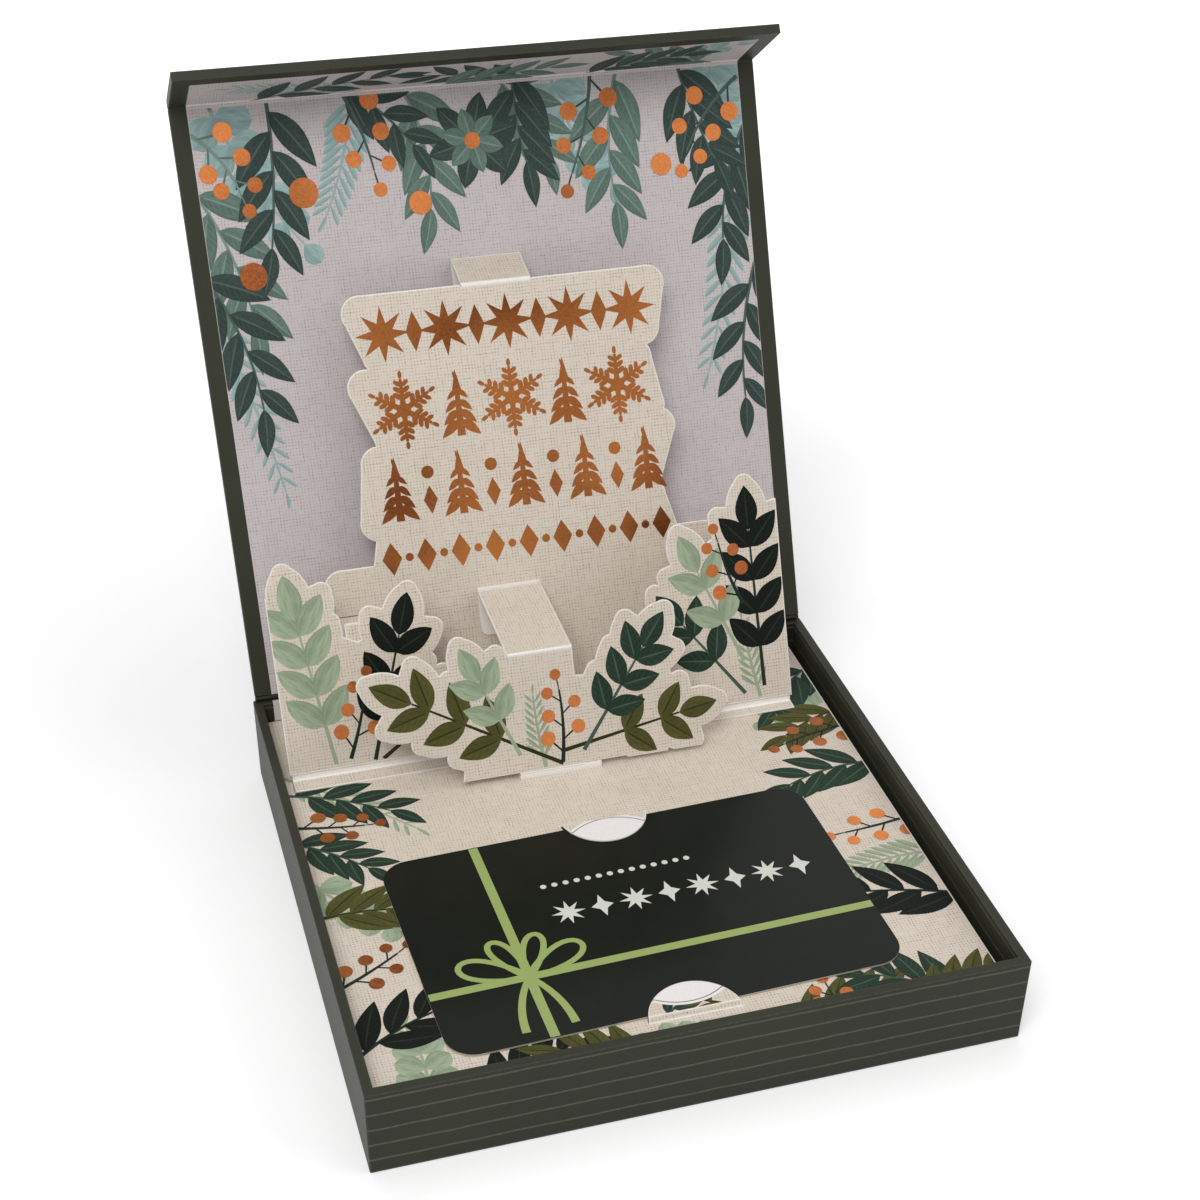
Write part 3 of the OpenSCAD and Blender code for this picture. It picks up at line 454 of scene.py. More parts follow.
    # Leaves on the stem: one side after the other, or in pairs, and one at the tip
    count = add(tree, "GeometryNodeMeshLine", {"Count": sizes["Leaves"]}, Offset=(0, 0, 0))
    last = add(tree, "ShaderNodeMath", {0: sizes["Leaves"]}, operation="SUBTRACT", _1=1.5).outputs[0]
    at_tip = add(tree, "ShaderNodeMath", {0: index, 1: last}, operation="GREATER_THAN").outputs[0]
    below_tip = add(tree, "ShaderNodeMath", {1: at_tip}, operation="SUBTRACT", _0=1.0).outputs[0]
    counted = add(tree, "ShaderNodeMath", {0: index, 1: sizes["Gap"], 2: sizes["First"]},
                  operation="MULTIPLY_ADD").outputs[0]
    t_leaf = add(tree, "ShaderNodeMix", {0: at_tip, 2: counted}, _3=1.0).outputs[0]
    spot, heading = on_arc(t_leaf)
    odd = add(tree, "ShaderNodeMath", {0: index}, operation="MODULO", _1=2.0).outputs[0]
    layer = add(tree, "ShaderNodeMath", {0: index}, operation="MODULO", _1=3.0).outputs[0]
    shrink = add(tree, "ShaderNodeMath", {0: t_leaf, 1: sizes["Taper"]}, operation="MULTIPLY").outputs[0]
    size = add(tree, "ShaderNodeMath", {1: shrink}, operation="SUBTRACT", _0=1.0).outputs[0]
    growth = add(tree, "GeometryNodeJoinGeometry", {0: ribbon.outputs[0]})
    seeds = add(tree, "GeometryNodeJoinGeometry")
    for side in (1.0, -1.0):
        own = add(tree, "ShaderNodeMath", {0: odd}, operation="COMPARE", _1=0.0 if side > 0 else 1.0, _2=0.1)
        either = add(tree, "ShaderNodeMath", {0: own.outputs[0], 1: sizes["Paired"]}, operation="MAXIMUM")
        if side > 0:
            chosen = add(tree, "ShaderNodeMath", {0: either.outputs[0], 1: at_tip}, operation="MAXIMUM")
        else:
            chosen = add(tree, "ShaderNodeMath", {0: either.outputs[0], 1: below_tip}, operation="MULTIPLY")
        swing = add(tree, "ShaderNodeMath", {0: sizes["Spread"], 1: below_tip},
                    operation="MULTIPLY").outputs[0]
        turned = add(tree, "ShaderNodeMath", {0: swing, 2: heading}, operation="MULTIPLY_ADD",
                     _1=side).outputs[0]
        rotation = add(tree, "ShaderNodeCombineXYZ", {2: turned}).outputs[0]
        lift = add(tree, "ShaderNodeMath", {0: layer}, operation="MULTIPLY_ADD", _1=INK_STEP,
                   _2=INK_STEP * (0.75 - 0.25 * side)).outputs[0]
        lifted = add(tree, "ShaderNodeVectorMath",
                     {0: spot, 1: add(tree, "ShaderNodeCombineXYZ", {2: lift}).outputs[0]}).outputs[0]
        roots = add(tree, "GeometryNodeSetPosition", {"Geometry": count.outputs[0], "Position": lifted})
        mirrored = add(tree, "ShaderNodeMath", {0: size}, operation="MULTIPLY", _1=side).outputs[0]
        scale = add(tree, "ShaderNodeCombineXYZ", {0: size, 1: mirrored}, Z=1.0).outputs[0]
        for form, bunch in ((leaf, growth), (seed, seeds)):
            placed = add(tree, "GeometryNodeInstanceOnPoints",
                         {"Points": roots.outputs[0], "Selection": chosen.outputs[0],
                          "Instance": form.outputs[0], "Rotation": rotation, "Scale": scale})
            tree.links.new(placed.outputs[0], bunch.inputs[0])
    ends = add(tree, "GeometryNodeJoinGeometry")
    for bunch, ink in ((growth, "Ink"), (seeds, "Foil")):
        real = add(tree, "GeometryNodeRealizeInstances", {"Geometry": bunch.outputs[0]})
        inked = add(tree, "GeometryNodeSetMaterial", {"Geometry": real.outputs[0], "Material": sizes[ink]})
        tree.links.new(inked.outputs[0], ends.inputs[0])
    add(tree, "NodeGroupOutput", {0: ends.outputs[0]})
    return tree


def ornament_row_tree():
    """Geometry Nodes for a row of like ornaments: stars, lozenges or dots, at even steps."""
    tree = bpy.data.node_groups.new("ornament_row", "GeometryNodeTree")
    tree.interface.new_socket("Geometry", in_out="OUTPUT", socket_type="NodeSocketGeometry")
    for name, kind in (("Count", "Int"), ("Start", "Vector"), ("Step", "Vector"), ("Points", "Int"),
                       ("Radius", "Float"), ("Waist", "Float"), ("Stretch", "Vector"), ("Turn", "Vector"),
                       ("Ink", "Material")):
        tree.interface.new_socket(name, in_out="INPUT", socket_type="NodeSocket" + kind)
    sizes = add(tree, "NodeGroupInput").outputs
    waist = add(tree, "ShaderNodeMath", {0: sizes["Radius"], 1: sizes["Waist"]}, operation="MULTIPLY")
    star = add(tree, "GeometryNodeCurveStar",
               {"Points": sizes["Points"], "Inner Radius": waist.outputs[0], "Outer Radius": sizes["Radius"]})
    turned = add(tree, "GeometryNodeTransform", {"Geometry": star.outputs[0], "Rotation": sizes["Turn"]})
    formed = add(tree, "GeometryNodeTransform", {"Geometry": turned.outputs[0], "Scale": sizes["Stretch"]})
    filled = add(tree, "GeometryNodeFillCurve", {"Curve": formed.outputs[0]}, mode="TRIANGLES")
    row = add(tree, "GeometryNodeMeshLine",
              {"Count": sizes["Count"], "Start Location": sizes["Start"], "Offset": sizes["Step"]})
    placed = add(tree, "GeometryNodeInstanceOnPoints",
                 {"Points": row.outputs[0], "Instance": filled.outputs[0]})
    real = add(tree, "GeometryNodeRealizeInstances", {"Geometry": placed.outputs[0]})
    inked = add(tree, "GeometryNodeSetMaterial", {"Geometry": real.outputs[0], "Material": sizes["Ink"]})
    add(tree, "NodeGroupOutput", {0: inked.outputs[0]})
    return tree


LEAFY_STEM = leafy_stem_tree()
ORNAMENT_ROW = ornament_row_tree()


def placed_object(name, data):
    """An object of this mesh, lamp or camera, put in the scene."""
    made = bpy.data.objects.new(name, data)
    bpy.context.collection.objects.link(made)
    return made


def quads(count):
    """The faces of a band whose corners are listed in pairs, one pair for each step along it."""
    return [(2 * i, 2 * i + 2, 2 * i + 3, 2 * i + 1) for i in range(count)]


class Print:
    """Ink shapes on one flat face, drawn in millimetres across and up that face."""

    def __init__(self, face):
        self.face = face
        self.mesh = bmesh.new()
        self.uv = self.mesh.loops.layers.uv.new("ink")
        self.inks = []
        self.lift = INK_LIFT

    def ink_slot(self, ink):
        """The print's own material slot for an ink."""
        if ink not in self.inks:
            self.inks.append(ink)
        return self.inks.index(ink)

    def grow(self, tree, **inputs):
        """Adds what a Geometry Nodes tree makes, as plain faces, over what is printed already."""
        holder = placed_object("growth", bpy.data.meshes.new("growth"))
        modifier = holder.modifiers.new("growth", "NODES")
        modifier.node_group = tree
        for item in tree.interface.items_tree:
            if item.in_out == "INPUT":
                modifier[item.identifier] = inputs[item.name]
        evaluated = holder.evaluated_get(bpy.context.evaluated_depsgraph_get())
        grown = bpy.data.meshes.new_from_object(evaluated)
        holder.modifiers.remove(modifier)
        inks = {material.name: ink for ink, material in INKS.items()}
        slots = [self.ink_slot(inks[material.name]) if material else 0 for material in grown.materials]
        old_verts, old_faces = len(self.mesh.verts), len(self.mesh.faces)
        self.mesh.from_mesh(grown)
        self.mesh.verts.ensure_lookup_table()
        self.mesh.faces.ensure_lookup_table()
        for vert in self.mesh.verts[old_verts:]:
            vert.co.z += self.lift
        for face in self.mesh.faces[old_faces:]:
            face.material_index = slots[face.material_index]
        self.lift += (SPRIG_STEPS if tree == LEAFY_STEM else 1) * INK_STEP
        bpy.data.objects.remove(holder)
        bpy.data.meshes.remove(grown)

    def row(self, count, start, step, points, radius, ink="copper", waist=1.0, stretch=1.0):
        """A row of stars with a point upwards. With a waist of 1 a star is a dot of twice as many corners."""
        self.grow(ORNAMENT_ROW, Count=count, Start=(*start, 0.0), Step=(*step, 0.0), Points=points,
                  Radius=radius, Waist=waist, Stretch=(stretch, 1.0, 1.0), Turn=(0.0, 0.0, math.pi / 2),
                  Ink=INKS[ink])

    def skin(self, points, faces, ink):
        """One shape from its corner points and faces."""
        slot = self.ink_slot(ink)
        verts = [self.mesh.verts.new((x, y, self.lift)) for x, y in points]
        for corners in faces:
            self.mesh.faces.new([verts[i] for i in corners]).material_index = slot
        self.lift += INK_STEP

    def line(self, points, width, ink, end_width=None):
        """A drawn line through points, of one width or changing to end_width."""
        end_width = width if end_width is None else end_width
        sides = []
        for i, (x, y) in enumerate(points):
            before, after = points[max(i - 1, 0)], points[min(i + 1, len(points) - 1)]
            dx, dy = after[0] - before[0], after[1] - before[1]
            size = math.hypot(dx, dy) or 1.0
            half = (width + (end_width - width) * i / (len(points) - 1)) / 2
            sides += [(x + dy / size * half, y - dx / size * half),
                      (x - dy / size * half, y + dx / size * half)]
        self.skin(sides, quads(len(points) - 1), ink)

    def press(self, name, body, window, slot):
        """Cuts the print to its window, lays it on the face and fixes it to its body."""
        (x0, y0), (x1, y1) = window
        for at, out in (((x0, 0, 0), (-1, 0, 0)), ((x1, 0, 0), (1, 0, 0)),
                        ((0, y0, 0), (0, -1, 0)), ((0, y1, 0), (0, 1, 0))):
            everything = self.mesh.verts[:] + self.mesh.edges[:] + self.mesh.faces[:]
            bmesh.ops.bisect_plane(self.mesh, geom=everything, plane_co=at, plane_no=out, clear_outer=True)
        for face in self.mesh.faces:
            face.normal_update()
        bmesh.ops.reverse_faces(self.mesh, faces=[face for face in self.mesh.faces if face.normal.z < 0])
        self.mesh.transform(self.face @ Matrix.Scale(MM, 4))
        data = bpy.data.meshes.new(name)
        self.mesh.to_mesh(data)
        self.mesh.free()
        for ink in self.inks:
            data.materials.append(INKS[ink])
        piece = placed_object(name, data)
        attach(piece, body)


joints = {joint["name"]: joint for joint in frame["joints"]}


def face_at(joint, tilt, out, up=0.0):
    """The face of a sheet that turns on a joint: X across, Y up from the hinge line, Z out of the print."""
    pos = Vector(joints[joint]["pos_m"])
    return (Matrix.Translation(pos) @ Matrix.Rotation(math.radians(tilt), 4, "X")
            @ Matrix.Translation((0, up * MM, out * MM)))


# The plants: leaves on the stem, alone or in pairs, their length and width in millimetres, the angle that
# they spread at, where along them they are fullest, how pointed they are, how far they curl, and how much the
# last one is smaller than the first. A seed is the radius of the foil dot at a leaf's end.
PLANTS = {
    "willow": dict(leaves=8, paired=0, length=12.0, width=4.4, spread=42, full=0.44, point=0.9, curl=-1.2,
                   taper=0.3),
    "round": dict(leaves=6, paired=1, length=7.2, width=6.2, spread=62, full=0.55, point=0.6, curl=0.0,
                  taper=0.4),
    "fir": dict(leaves=12, paired=1, length=7.6, width=1.5, spread=46, full=0.6, point=0.6, curl=-0.8,
                taper=0.5),
    "seeds": dict(leaves=6, paired=0, length=5.2, width=0.45, spread=46, full=0.5, point=0.2, curl=0.4,
                  taper=0.3, seed=1.9),
}
# The tree divides by the bend, so a straight stem bends by this much in degrees. A petal's stem is as short
# in millimetres.
NEAR_NOUGHT = 0.01


def sprig(sheet, plant, x, y, angle, run, ink, bend=18.0, size=1.0, stem=0.85, **changes):
    """One plant from its root at (x, y), growing at an angle in degrees."""
    form = {"first": 0.14, "gap": None, "seed": 0.0, **PLANTS[plant], **changes}
    gap = form["gap"] or (1 - form["first"]) / (form["leaves"] - 1)
    sheet.grow(LEAFY_STEM, Root=(x, y, 0.0), Angle=math.radians(angle),
               Bend=math.radians(bend or NEAR_NOUGHT), Run=run, Leaves=form["leaves"], First=form["first"],
               Gap=gap, Paired=float(form["paired"]), Spread=math.radians(form["spread"]),
               Length=form["length"] * size, Width=form["width"] * size,
               Fullness=math.log(0.5) / math.log(form["full"]), Point=form["point"],
               Curl=form["curl"] * size, Taper=form["taper"], Seed=form["seed"] * size, Ink=INKS[ink],
               Foil=INKS["copper"], **{"Stem Width": stem})


# Print of the lid's lining and of the flap's
# A garland hangs from the lid's far edge and down both sides, in cool greens with copper foil seeds.
# The flap carries the same plants on, without foil.

# Each row is a plant: its kind, root across and up the lid, angle, run, ink, bend and size.
LID_PLANTS = [
    ("round", -53, 119, -72, 34, "mist", 20, 1.1), ("fir", 53, 96, -96, 42, "mist", -12, 1.05),
    ("round", 16, 119, -80, 27, "mist", 28, 1.05), ("fir", -24, 119, -98, 26, "mist", -20, 1.05),
    ("round", 50, 119, -86, 24, "mist", 20, 0.95), ("fir", -58, 80, -70, 40, "mist", -10, 0.95),
    ("willow", -59, 104, -58, 31, "teal", -26, 1.2), ("willow", -15, 119, -62, 26, "teal", -38, 1.1),
    ("willow", 31, 119, -112, 28, "teal", 30, 1.15), ("willow", 2, 120, -36, 22, "teal", -40, 1.0),
    ("willow", -41, 119, -88, 30, "spruce", -14, 1.2), ("willow", 9, 120, -98, 19, "spruce", 20, 1.1),
    ("willow", 59, 108, -126, 28, "spruce", 34, 1.15), ("willow", 43, 119, -80, 22, "spruce", 16, 1.1),
    ("willow", -60, 88, -54, 32, "spruce", -34, 1.15), ("willow", 58, 80, -114, 32, "spruce", 26, 1.05),
    ("willow", -30, 120, -22, 22, "spruce", -34, 0.95),
    ("seeds", -27, 119, -62, 18, "spruce", -20, 1.05), ("seeds", 25, 119, -96, 22, "spruce", -20, 1.05),
    ("seeds", -57, 112, -34, 15, "teal", -40, 1.05), ("seeds", 56, 114, -146, 19, "spruce", 30, 1.05)]
# Each row is a berry of foil: across, up the lid, and its radius
LID_BERRIES = ((-36, 99, 2.9), (-48, 84, 2.7), (-13, 95, 2.3), (38, 98, 2.2))
# From the hinge line and the fold line out to the lining's face, and from the lid's middle to its sides
BOARD_FACE = 0.6
FLAP_FACE = 0.9
LINING_SIDE = 56.3
FLOWER_MIDDLE = (-1, 106)
FLOWER_RADIUS = 9.5
PETALS = 6
PETAL_TURN = 14


def petal_ring(sheet, share_of_step, reach, wide, ink):
    """Pointed petals round the flower's middle, as long and wide as these shares of its radius."""
    for i in range(PETALS):
        angle = PETAL_TURN + 360 * (i + share_of_step) / PETALS
        sprig(sheet, "willow", *FLOWER_MIDDLE, angle, NEAR_NOUGHT, ink, 0.0, stem=0.0, leaves=1,
              first=0.0, gap=0.1, length=FLOWER_RADIUS * reach, width=FLOWER_RADIUS * wide, full=0.55,
              curl=0.0, taper=0.0)


lid_print = Print(face_at("lid_hinge", STAND, BOARD_FACE))
for plant in LID_PLANTS:
    sprig(lid_print, *plant)
petal_ring(lid_print, 0.0, 1.0, 0.46, "spruce")
petal_ring(lid_print, 0.5, 0.68, 0.36, "teal")
lid_print.row(1, FLOWER_MIDDLE, (0, 0), 10, FLOWER_RADIUS * 0.17)
for berry_x, berry_y, radius in LID_BERRIES:
    lid_print.row(1, (berry_x, berry_y), (0, 0), 14, radius)
lid_print.press("lid_garland", "lid", ((-LINING_SIDE, 2), (LINING_SIDE, 116.4)), "lid_print")

FLAP_PLANTS = [
    ("fir", -20, 0, 150, 30, "mist", 20), ("round", 30, 0, 40, 26, "mist", -20),
    ("willow", -46, 0, 30, 30, "spruce", -20), ("willow", 14, 0, 150, 26, "spruce", 20),
    ("willow", -8, 0, 28, 24, "teal", -20), ("willow", 52, 0, 140, 24, "teal", 20),
    ("willow", 22, 0, 32, 22, "spruce", -20)]
flap_print = Print(face_at("flap_fold", STAND + FLAP_FOLD, FLAP_FACE))
for plant in FLAP_PLANTS:
    sprig(flap_print, *plant)
flap_print.press("flap_leaves", "flap", ((-LINING_SIDE, 1.2), (LINING_SIDE, 15.0)), "lid_print")

# Paper over the flap's fold
# The wrapping paper outside and the lining inside both run on from the lid to the flap, over strips bent
# round the fold as it lies at rest.
BEND_STEPS = 8
# Up the lid from its hinge, and up the flap from its fold: where a strip ends and where it begins to bend.
# Then where its corner would be if the fold were sharp, midway between the last two.
ON_LID = (115.6, 116.3, 116.75)
ON_FLAP = (2.1, 1.4, 0.95)


def bent_strip(name, sides, ends, corner, material):
    """A strip round a fold: flat between the first two ends and the last two, and bent between."""
    path = [ends[0]]
    for i in range(BEND_STEPS + 1):
        t = i / BEND_STEPS
        path.append(ends[1] * (1 - t) ** 2 + corner * 2 * t * (1 - t) + ends[2] * t * t)
    path.append(ends[3])
    sheet = bmesh.new()
    rows = [[sheet.verts.new((x * MM, at.y, at.z)) for x in sides] for at in path]
    for low, high in zip(rows, rows[1:]):
        sheet.faces.new((low[0], low[1], high[1], high[0]))
    data = bpy.data.meshes.new(name)
    sheet.to_mesh(data)
    sheet.free()
    data.materials.append(material)
    return placed_object(name, data)


def flap_crease_strip(name, half_width, sink, material):
    """Paper over the fold, sunk this far below the lining's face."""
    lid_side = face_at("lid_hinge", STAND, BOARD_FACE + INK_LIFT - sink)
    flap_side = face_at("flap_fold", STAND + FLAP_FOLD, FLAP_FACE + INK_LIFT - sink)
    lid_end, lid_bend, lid_corner = [lid_side @ Vector((0, up * MM, 0)) for up in ON_LID]
    flap_end, flap_bend, flap_corner = [flap_side @ Vector((0, up * MM, 0)) for up in ON_FLAP]
    ends = [lid_end, lid_bend, flap_bend, flap_end]
    strip = bent_strip(name, (-half_width, half_width), ends, (lid_corner + flap_corner) / 2, material)
    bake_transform(strip)


lining_paper = frame["nodes"]["lid_liner"].material_slots[0].material
flap_crease_strip("flap_crease_wrap", 59.7, 0.1, lid_paper)
flap_crease_strip("flap_crease_lining", 56.4, 0.0, lining_paper)

# Print of the platform
# The same plants in warmer greens run up both sides of the platform and along its front edge, under the
# pop-up and the card.
PLATFORM_PLANTS = [
    ("fir", -60, 38, -40, 34, "sage", -10, 1.05), ("round", -59, 4, -64, 26, "sage", 26, 0.95),
    ("round", -50, -61, 74, 22, "sage", 30, 0.95), ("fir", 61, -20, 172, 24, "sage", 26, 1.0),
    ("round", 61, 40, 200, 22, "sage", 20, 0.9), ("round", 10, -61, 150, 20, "sage", 20, 0.85),
    ("willow", -60, 31, -16, 23, "forest", -22, 1.0), ("willow", -60, -8, 8, 18, "olive", -24, 1.0),
    ("willow", -61, 16, -30, 18, "forest", -20, 0.9), ("willow", -60, -46, 40, 24, "night", -30, 1.1),
    ("willow", -38, -62, 58, 18, "night", -50, 1.0), ("willow", 61, 48, 210, 22, "forest", 26, 1.05),
    ("willow", 61, 10, 170, 22, "forest", 34, 1.05), ("willow", 61, 30, 190, 18, "olive", 24, 0.95),
    ("willow", 61, -34, 154, 26, "night", 20, 1.15), ("willow", 16, -62, 40, 22, "olive", -40, 1.05),
    ("willow", -10, -62, 128, 18, "olive", 40, 0.95), ("willow", 50, -62, 128, 22, "forest", 30, 1.1),
    ("willow", 40, -62, 40, 18, "olive", -30, 1.0),
    ("seeds", -59, 20, -16, 14, "night", 10, 0.85), ("seeds", -60, -28, 24, 15, "night", 10, 0.85),
    ("seeds", 61, 24, 184, 18, "night", 14, 0.9), ("seeds", 61, -8, 192, 17, "night", -10, 0.9),
    ("seeds", 24, -61, 80, 10, "night", 10, 0.85)]
# In millimetres: the height of its top, the margin left at its folds, and the bare strip at its back
PLATFORM_TOP = 13.8
FOLD_MARGIN = 0.3
BARE_BACK = 6
platform_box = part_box("platform")
(left, front), (right, back) = [(corner[0] / MM, corner[1] / MM) for corner in platform_box]
platform_window = ((left + FOLD_MARGIN, front + FOLD_MARGIN), (right - FOLD_MARGIN, back - BARE_BACK))
platform_print = Print(Matrix.Translation((0, 0, PLATFORM_TOP * MM)))
for plant in PLATFORM_PLANTS:
    sprig(platform_print, *plant)
platform_print.press("platform_leaves", "tray", platform_window, "platform_card")

# Greeting plaque
# Die-cut card with four rows of copper foil ornament, taller in the middle: stars, frost flowers, little firs
# and a chain of lozenges. It stands up as the lid opens.
SHEET = 0.3
# From the hinge line out to the middle of a standing card: plaque and front panel, then the side panels
PANEL_OFF = BOARD_FACE + SHEET / 2
SIDE_OFF = PANEL_OFF + SHEET
# The waists that make a star of three points a triangle, and one of four a lozenge
TRIANGLE = 0.5
LOZENGE = 0.72


def lower_edge(node, joint, off):
    """How far up from its hinge line a standing panel's lower edge lies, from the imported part."""
    hinge_z = joints[joint]["pos_m"][2] / MM
    lean = math.radians(LEAN)
    return (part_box(node)[0][2] / MM - hinge_z - (off - SHEET / 2) * math.sin(lean)) / math.cos(lean)


def standing_print(node, joint, off):
    """A print on a standing panel's front, which counts its height from the panel's lower edge."""
    return Print(face_at(joint, STAND, off + SHEET / 2, lower_edge(node, joint, off)))


def little_fir(sheet, x, foot, height):
    """A straight trunk with drooping branches, longest at the foot, and a pointed top."""
    sheet.lift = INK_LIFT
    sprig(sheet, "willow", x, foot, 90, height * 0.84, "bronze", 0.0, stem=1.7, leaves=5, paired=1,
          first=0.26, spread=112, length=height * 0.45, width=2.5, full=0.42, curl=1.6, taper=0.68)
    sheet.row(1, (x, foot + height * 0.77), (0, 0), 3, height * 0.24, "bronze", TRIANGLE, 0.4)


def frost_flower(sheet, x, y, radius):
    """Six arms of needles round a small dot."""
    sheet.lift = INK_LIFT
    for arm in range(6):
        sprig(sheet, "fir", x, y, 30 + 60 * arm, radius * 0.84, "bronze", 0.0, stem=1.3, leaves=4,
              first=0.36, spread=56, length=radius * 0.34, width=1.25, full=0.5, point=0.4, curl=0.0,
              taper=0.35)
    sheet.row(1, (x, y), (0, 0), 6, radius * 0.2, "bronze")


def foil_row(count, middle, y, step, points, radius, waist=1.0, stretch=1.0):
    """Foil ornaments across the plaque, at even steps to both sides of a middle."""
    start = (middle - (count - 1) / 2 * step, y)
    plaque_print.row(count, start, (step, 0), points, radius, "bronze", waist, stretch)


plaque_print = standing_print("plaque", "plaque_fold", PANEL_OFF)
# Where the middle of each row lies, a little to one side of the plaque's own, and the step between like ones
STAR_MIDDLE, STAR_STEP = 0.4, 12.8
foil_row(5, STAR_MIDDLE, 78.2, STAR_STEP, 8, 5.6, 0.42)
foil_row(4, STAR_MIDDLE, 78.2, STAR_STEP, 4, 4.0, LOZENGE, 0.42)
FROST_MIDDLE, FROST_STEP = -0.4, 22.4
for steps in (-1, 0, 1):
    frost_flower(plaque_print, FROST_MIDDLE + FROST_STEP * steps, 63.0, 7.4)
for steps in (-0.5, 0.5):
    little_fir(plaque_print, FROST_MIDDLE + FROST_STEP * steps, 56.6, 13.2)
FIR_MIDDLE, FIR_STEP = 0.2, 13.2
for steps in (-2, -1, 0, 1, 2):
    little_fir(plaque_print, FIR_MIDDLE + FIR_STEP * steps, 41.0, 13.0)
foil_row(4, FIR_MIDDLE, 50.2, FIR_STEP, 10, 1.3)
foil_row(4, FIR_MIDDLE, 44.6, FIR_STEP, 4, 2.9, LOZENGE, 0.5)
CHAIN_MIDDLE, CHAIN_STEP = -0.2, 7.2
foil_row(9, CHAIN_MIDDLE, 33.6, CHAIN_STEP, 4, 3.4, LOZENGE, 0.6)
foil_row(8, CHAIN_MIDDLE, 33.6, CHAIN_STEP, 8, 0.85)
plaque_print.press("plaque_foil", "plaque_panel", ((-40, 4), (40, 85)), "popup_card")

# Die-cut sprays
# Three cards cut round their printed sprigs, with a margin left outside the leaves. They stand up in front of
# the plaque and beside it.

# Each row is a sprig as it is cut: x and height of its root, angle, stem length, pairs of leaves, a leaf's
# length and width, and spread
FRONT_SPRIGS = [[-12, 6, 150, 23.5, 3, 9.5, 4.6, 46], [-14, 9, 113, 12, 2, 8, 4.2, 44],
                [6, 5, 9, 16, 2, 8.5, 4.4, 48], [5, 8, 53, 17.5, 3, 8.5, 4.4, 46]]
LEFT_SPRIGS = [[8.8, 6, 98, 25, 4, 9.5, 4.8, 42], [18.8, 5, 72, 21, 3, 9, 4.6, 46],
               [25.8, 5, 33, 10, 2, 7, 4.2, 48]]
RIGHT_SPRIGS = [[-6, 8, 91, 28, 4, 9.5, 4.8, 42], [-14, 7, 127, 14, 2, 9, 4.6, 46],
                [-12, 14, 113, 16, 2, 9, 4.6, 44]]
# In millimetres: how far a printed stem goes on below its root, and how far above the card's edge it ends
STEM_FOOT = 5.0
ABOVE_EDGE = 0.6
# A leaf's printed length, as a share of the one that the card is cut round
PRINTED = 0.98


def cut_sprig(sheet, row, edge, ink, point=0.9):
    """A sprig where the card is cut round it, its x counted from one of the card's side edges."""
    x, y, angle, run, pairs, length, width, spread = row
    c, s = math.cos(math.radians(angle)), math.sin(math.radians(angle))
    foot = min(y - ABOVE_EDGE, STEM_FOOT) / max(s, 0.5)
    whole = run + foot
    sprig(sheet, "willow", x + edge - c * foot, y - s * foot, angle, whole, ink, 0.0, leaves=pairs + 1,
          paired=1, first=(foot + run * 0.5 / pairs) / whole, gap=run / pairs / whole, spread=spread,
          length=length * PRINTED, width=width, curl=0.0, taper=0.0, point=point)


front_print = standing_print("front_panel", "front_panel_fold", PANEL_OFF)
sprig(front_print, "fir", -7, 0.8, 98, 15, "sage", -8, 0.62, leaves=9)
for row, ink in zip(FRONT_SPRIGS, ["olive", "sage", "olive", "forest"]):
    cut_sprig(front_print, row, 0.0, ink)
sprig(front_print, "seeds", -3.4, 1.2, 80, 15, "night", 14, 0.85)
front_print.press("front_spray_print", "front_spray", ((-44, 0.5), (34, 32)), "popup_card")

left_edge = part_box("left_panel")[0][0] / MM
left_print = standing_print("left_panel", "left_panel_fold", SIDE_OFF)
for row, ink in zip(LEFT_SPRIGS, ["sage", "night", "olive"]):
    cut_sprig(left_print, row, left_edge, ink, 0.75)
sprig(left_print, "seeds", left_edge + 12.5, 1.6, 66, 15, "night", 10, 0.85)
left_print.press("left_spray_print", "left_spray", ((left_edge + 0.2, 0.5), (-12, 50)), "popup_card")

right_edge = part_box("right_panel")[1][0] / MM
right_print = standing_print("right_panel", "right_panel_fold", SIDE_OFF)
sprig(right_print, "fir", right_edge - 7, 0.8, 102, 17, "sage", -6, 0.65, leaves=9)
for row, ink in zip(RIGHT_SPRIGS, ["night", "forest", "sage"]):
    cut_sprig(right_print, row, right_edge, ink)
sprig(right_print, "seeds", right_edge - 9, 21, 116, 14, "night", -16, 0.85)
right_print.press("right_spray_print", "right_spray", ((18, 0.5), (right_edge - 0.2, 54)), "popup_card")

# Folds of the pop-up
# The card is creased where a panel rises from its glued strip and where a strap leaves its panel. A strip of
# pale, glossy card bends over each fold, and its pale colour is a painted highlight, a thin, bright line of
# light along the fold.
# Pale card with a real gloss; its pale colour is the painted highlight along the folds.
PAINTED_FOLD_HIGHLIGHT = plain_card("painted_fold_highlight_card", "#EFEAE3", 0.2)
# In millimetres: how far a line goes on past its fold, how far one swells out in front of a cut edge, and how
# far its ends stay inside the sides of the glued strip or strap
LAP = 0.25
SWELL = 0.1
TAB_INSET = 0.05
STRAP_INSET = 0.1
# Forward and up from a strap's hinge line: the bend's sharp corner, and where it reaches the upper side
STRAP_CORNER = (0, -0.3, 0.78)
STRAP_TOP = (0, -0.17, 0.52)


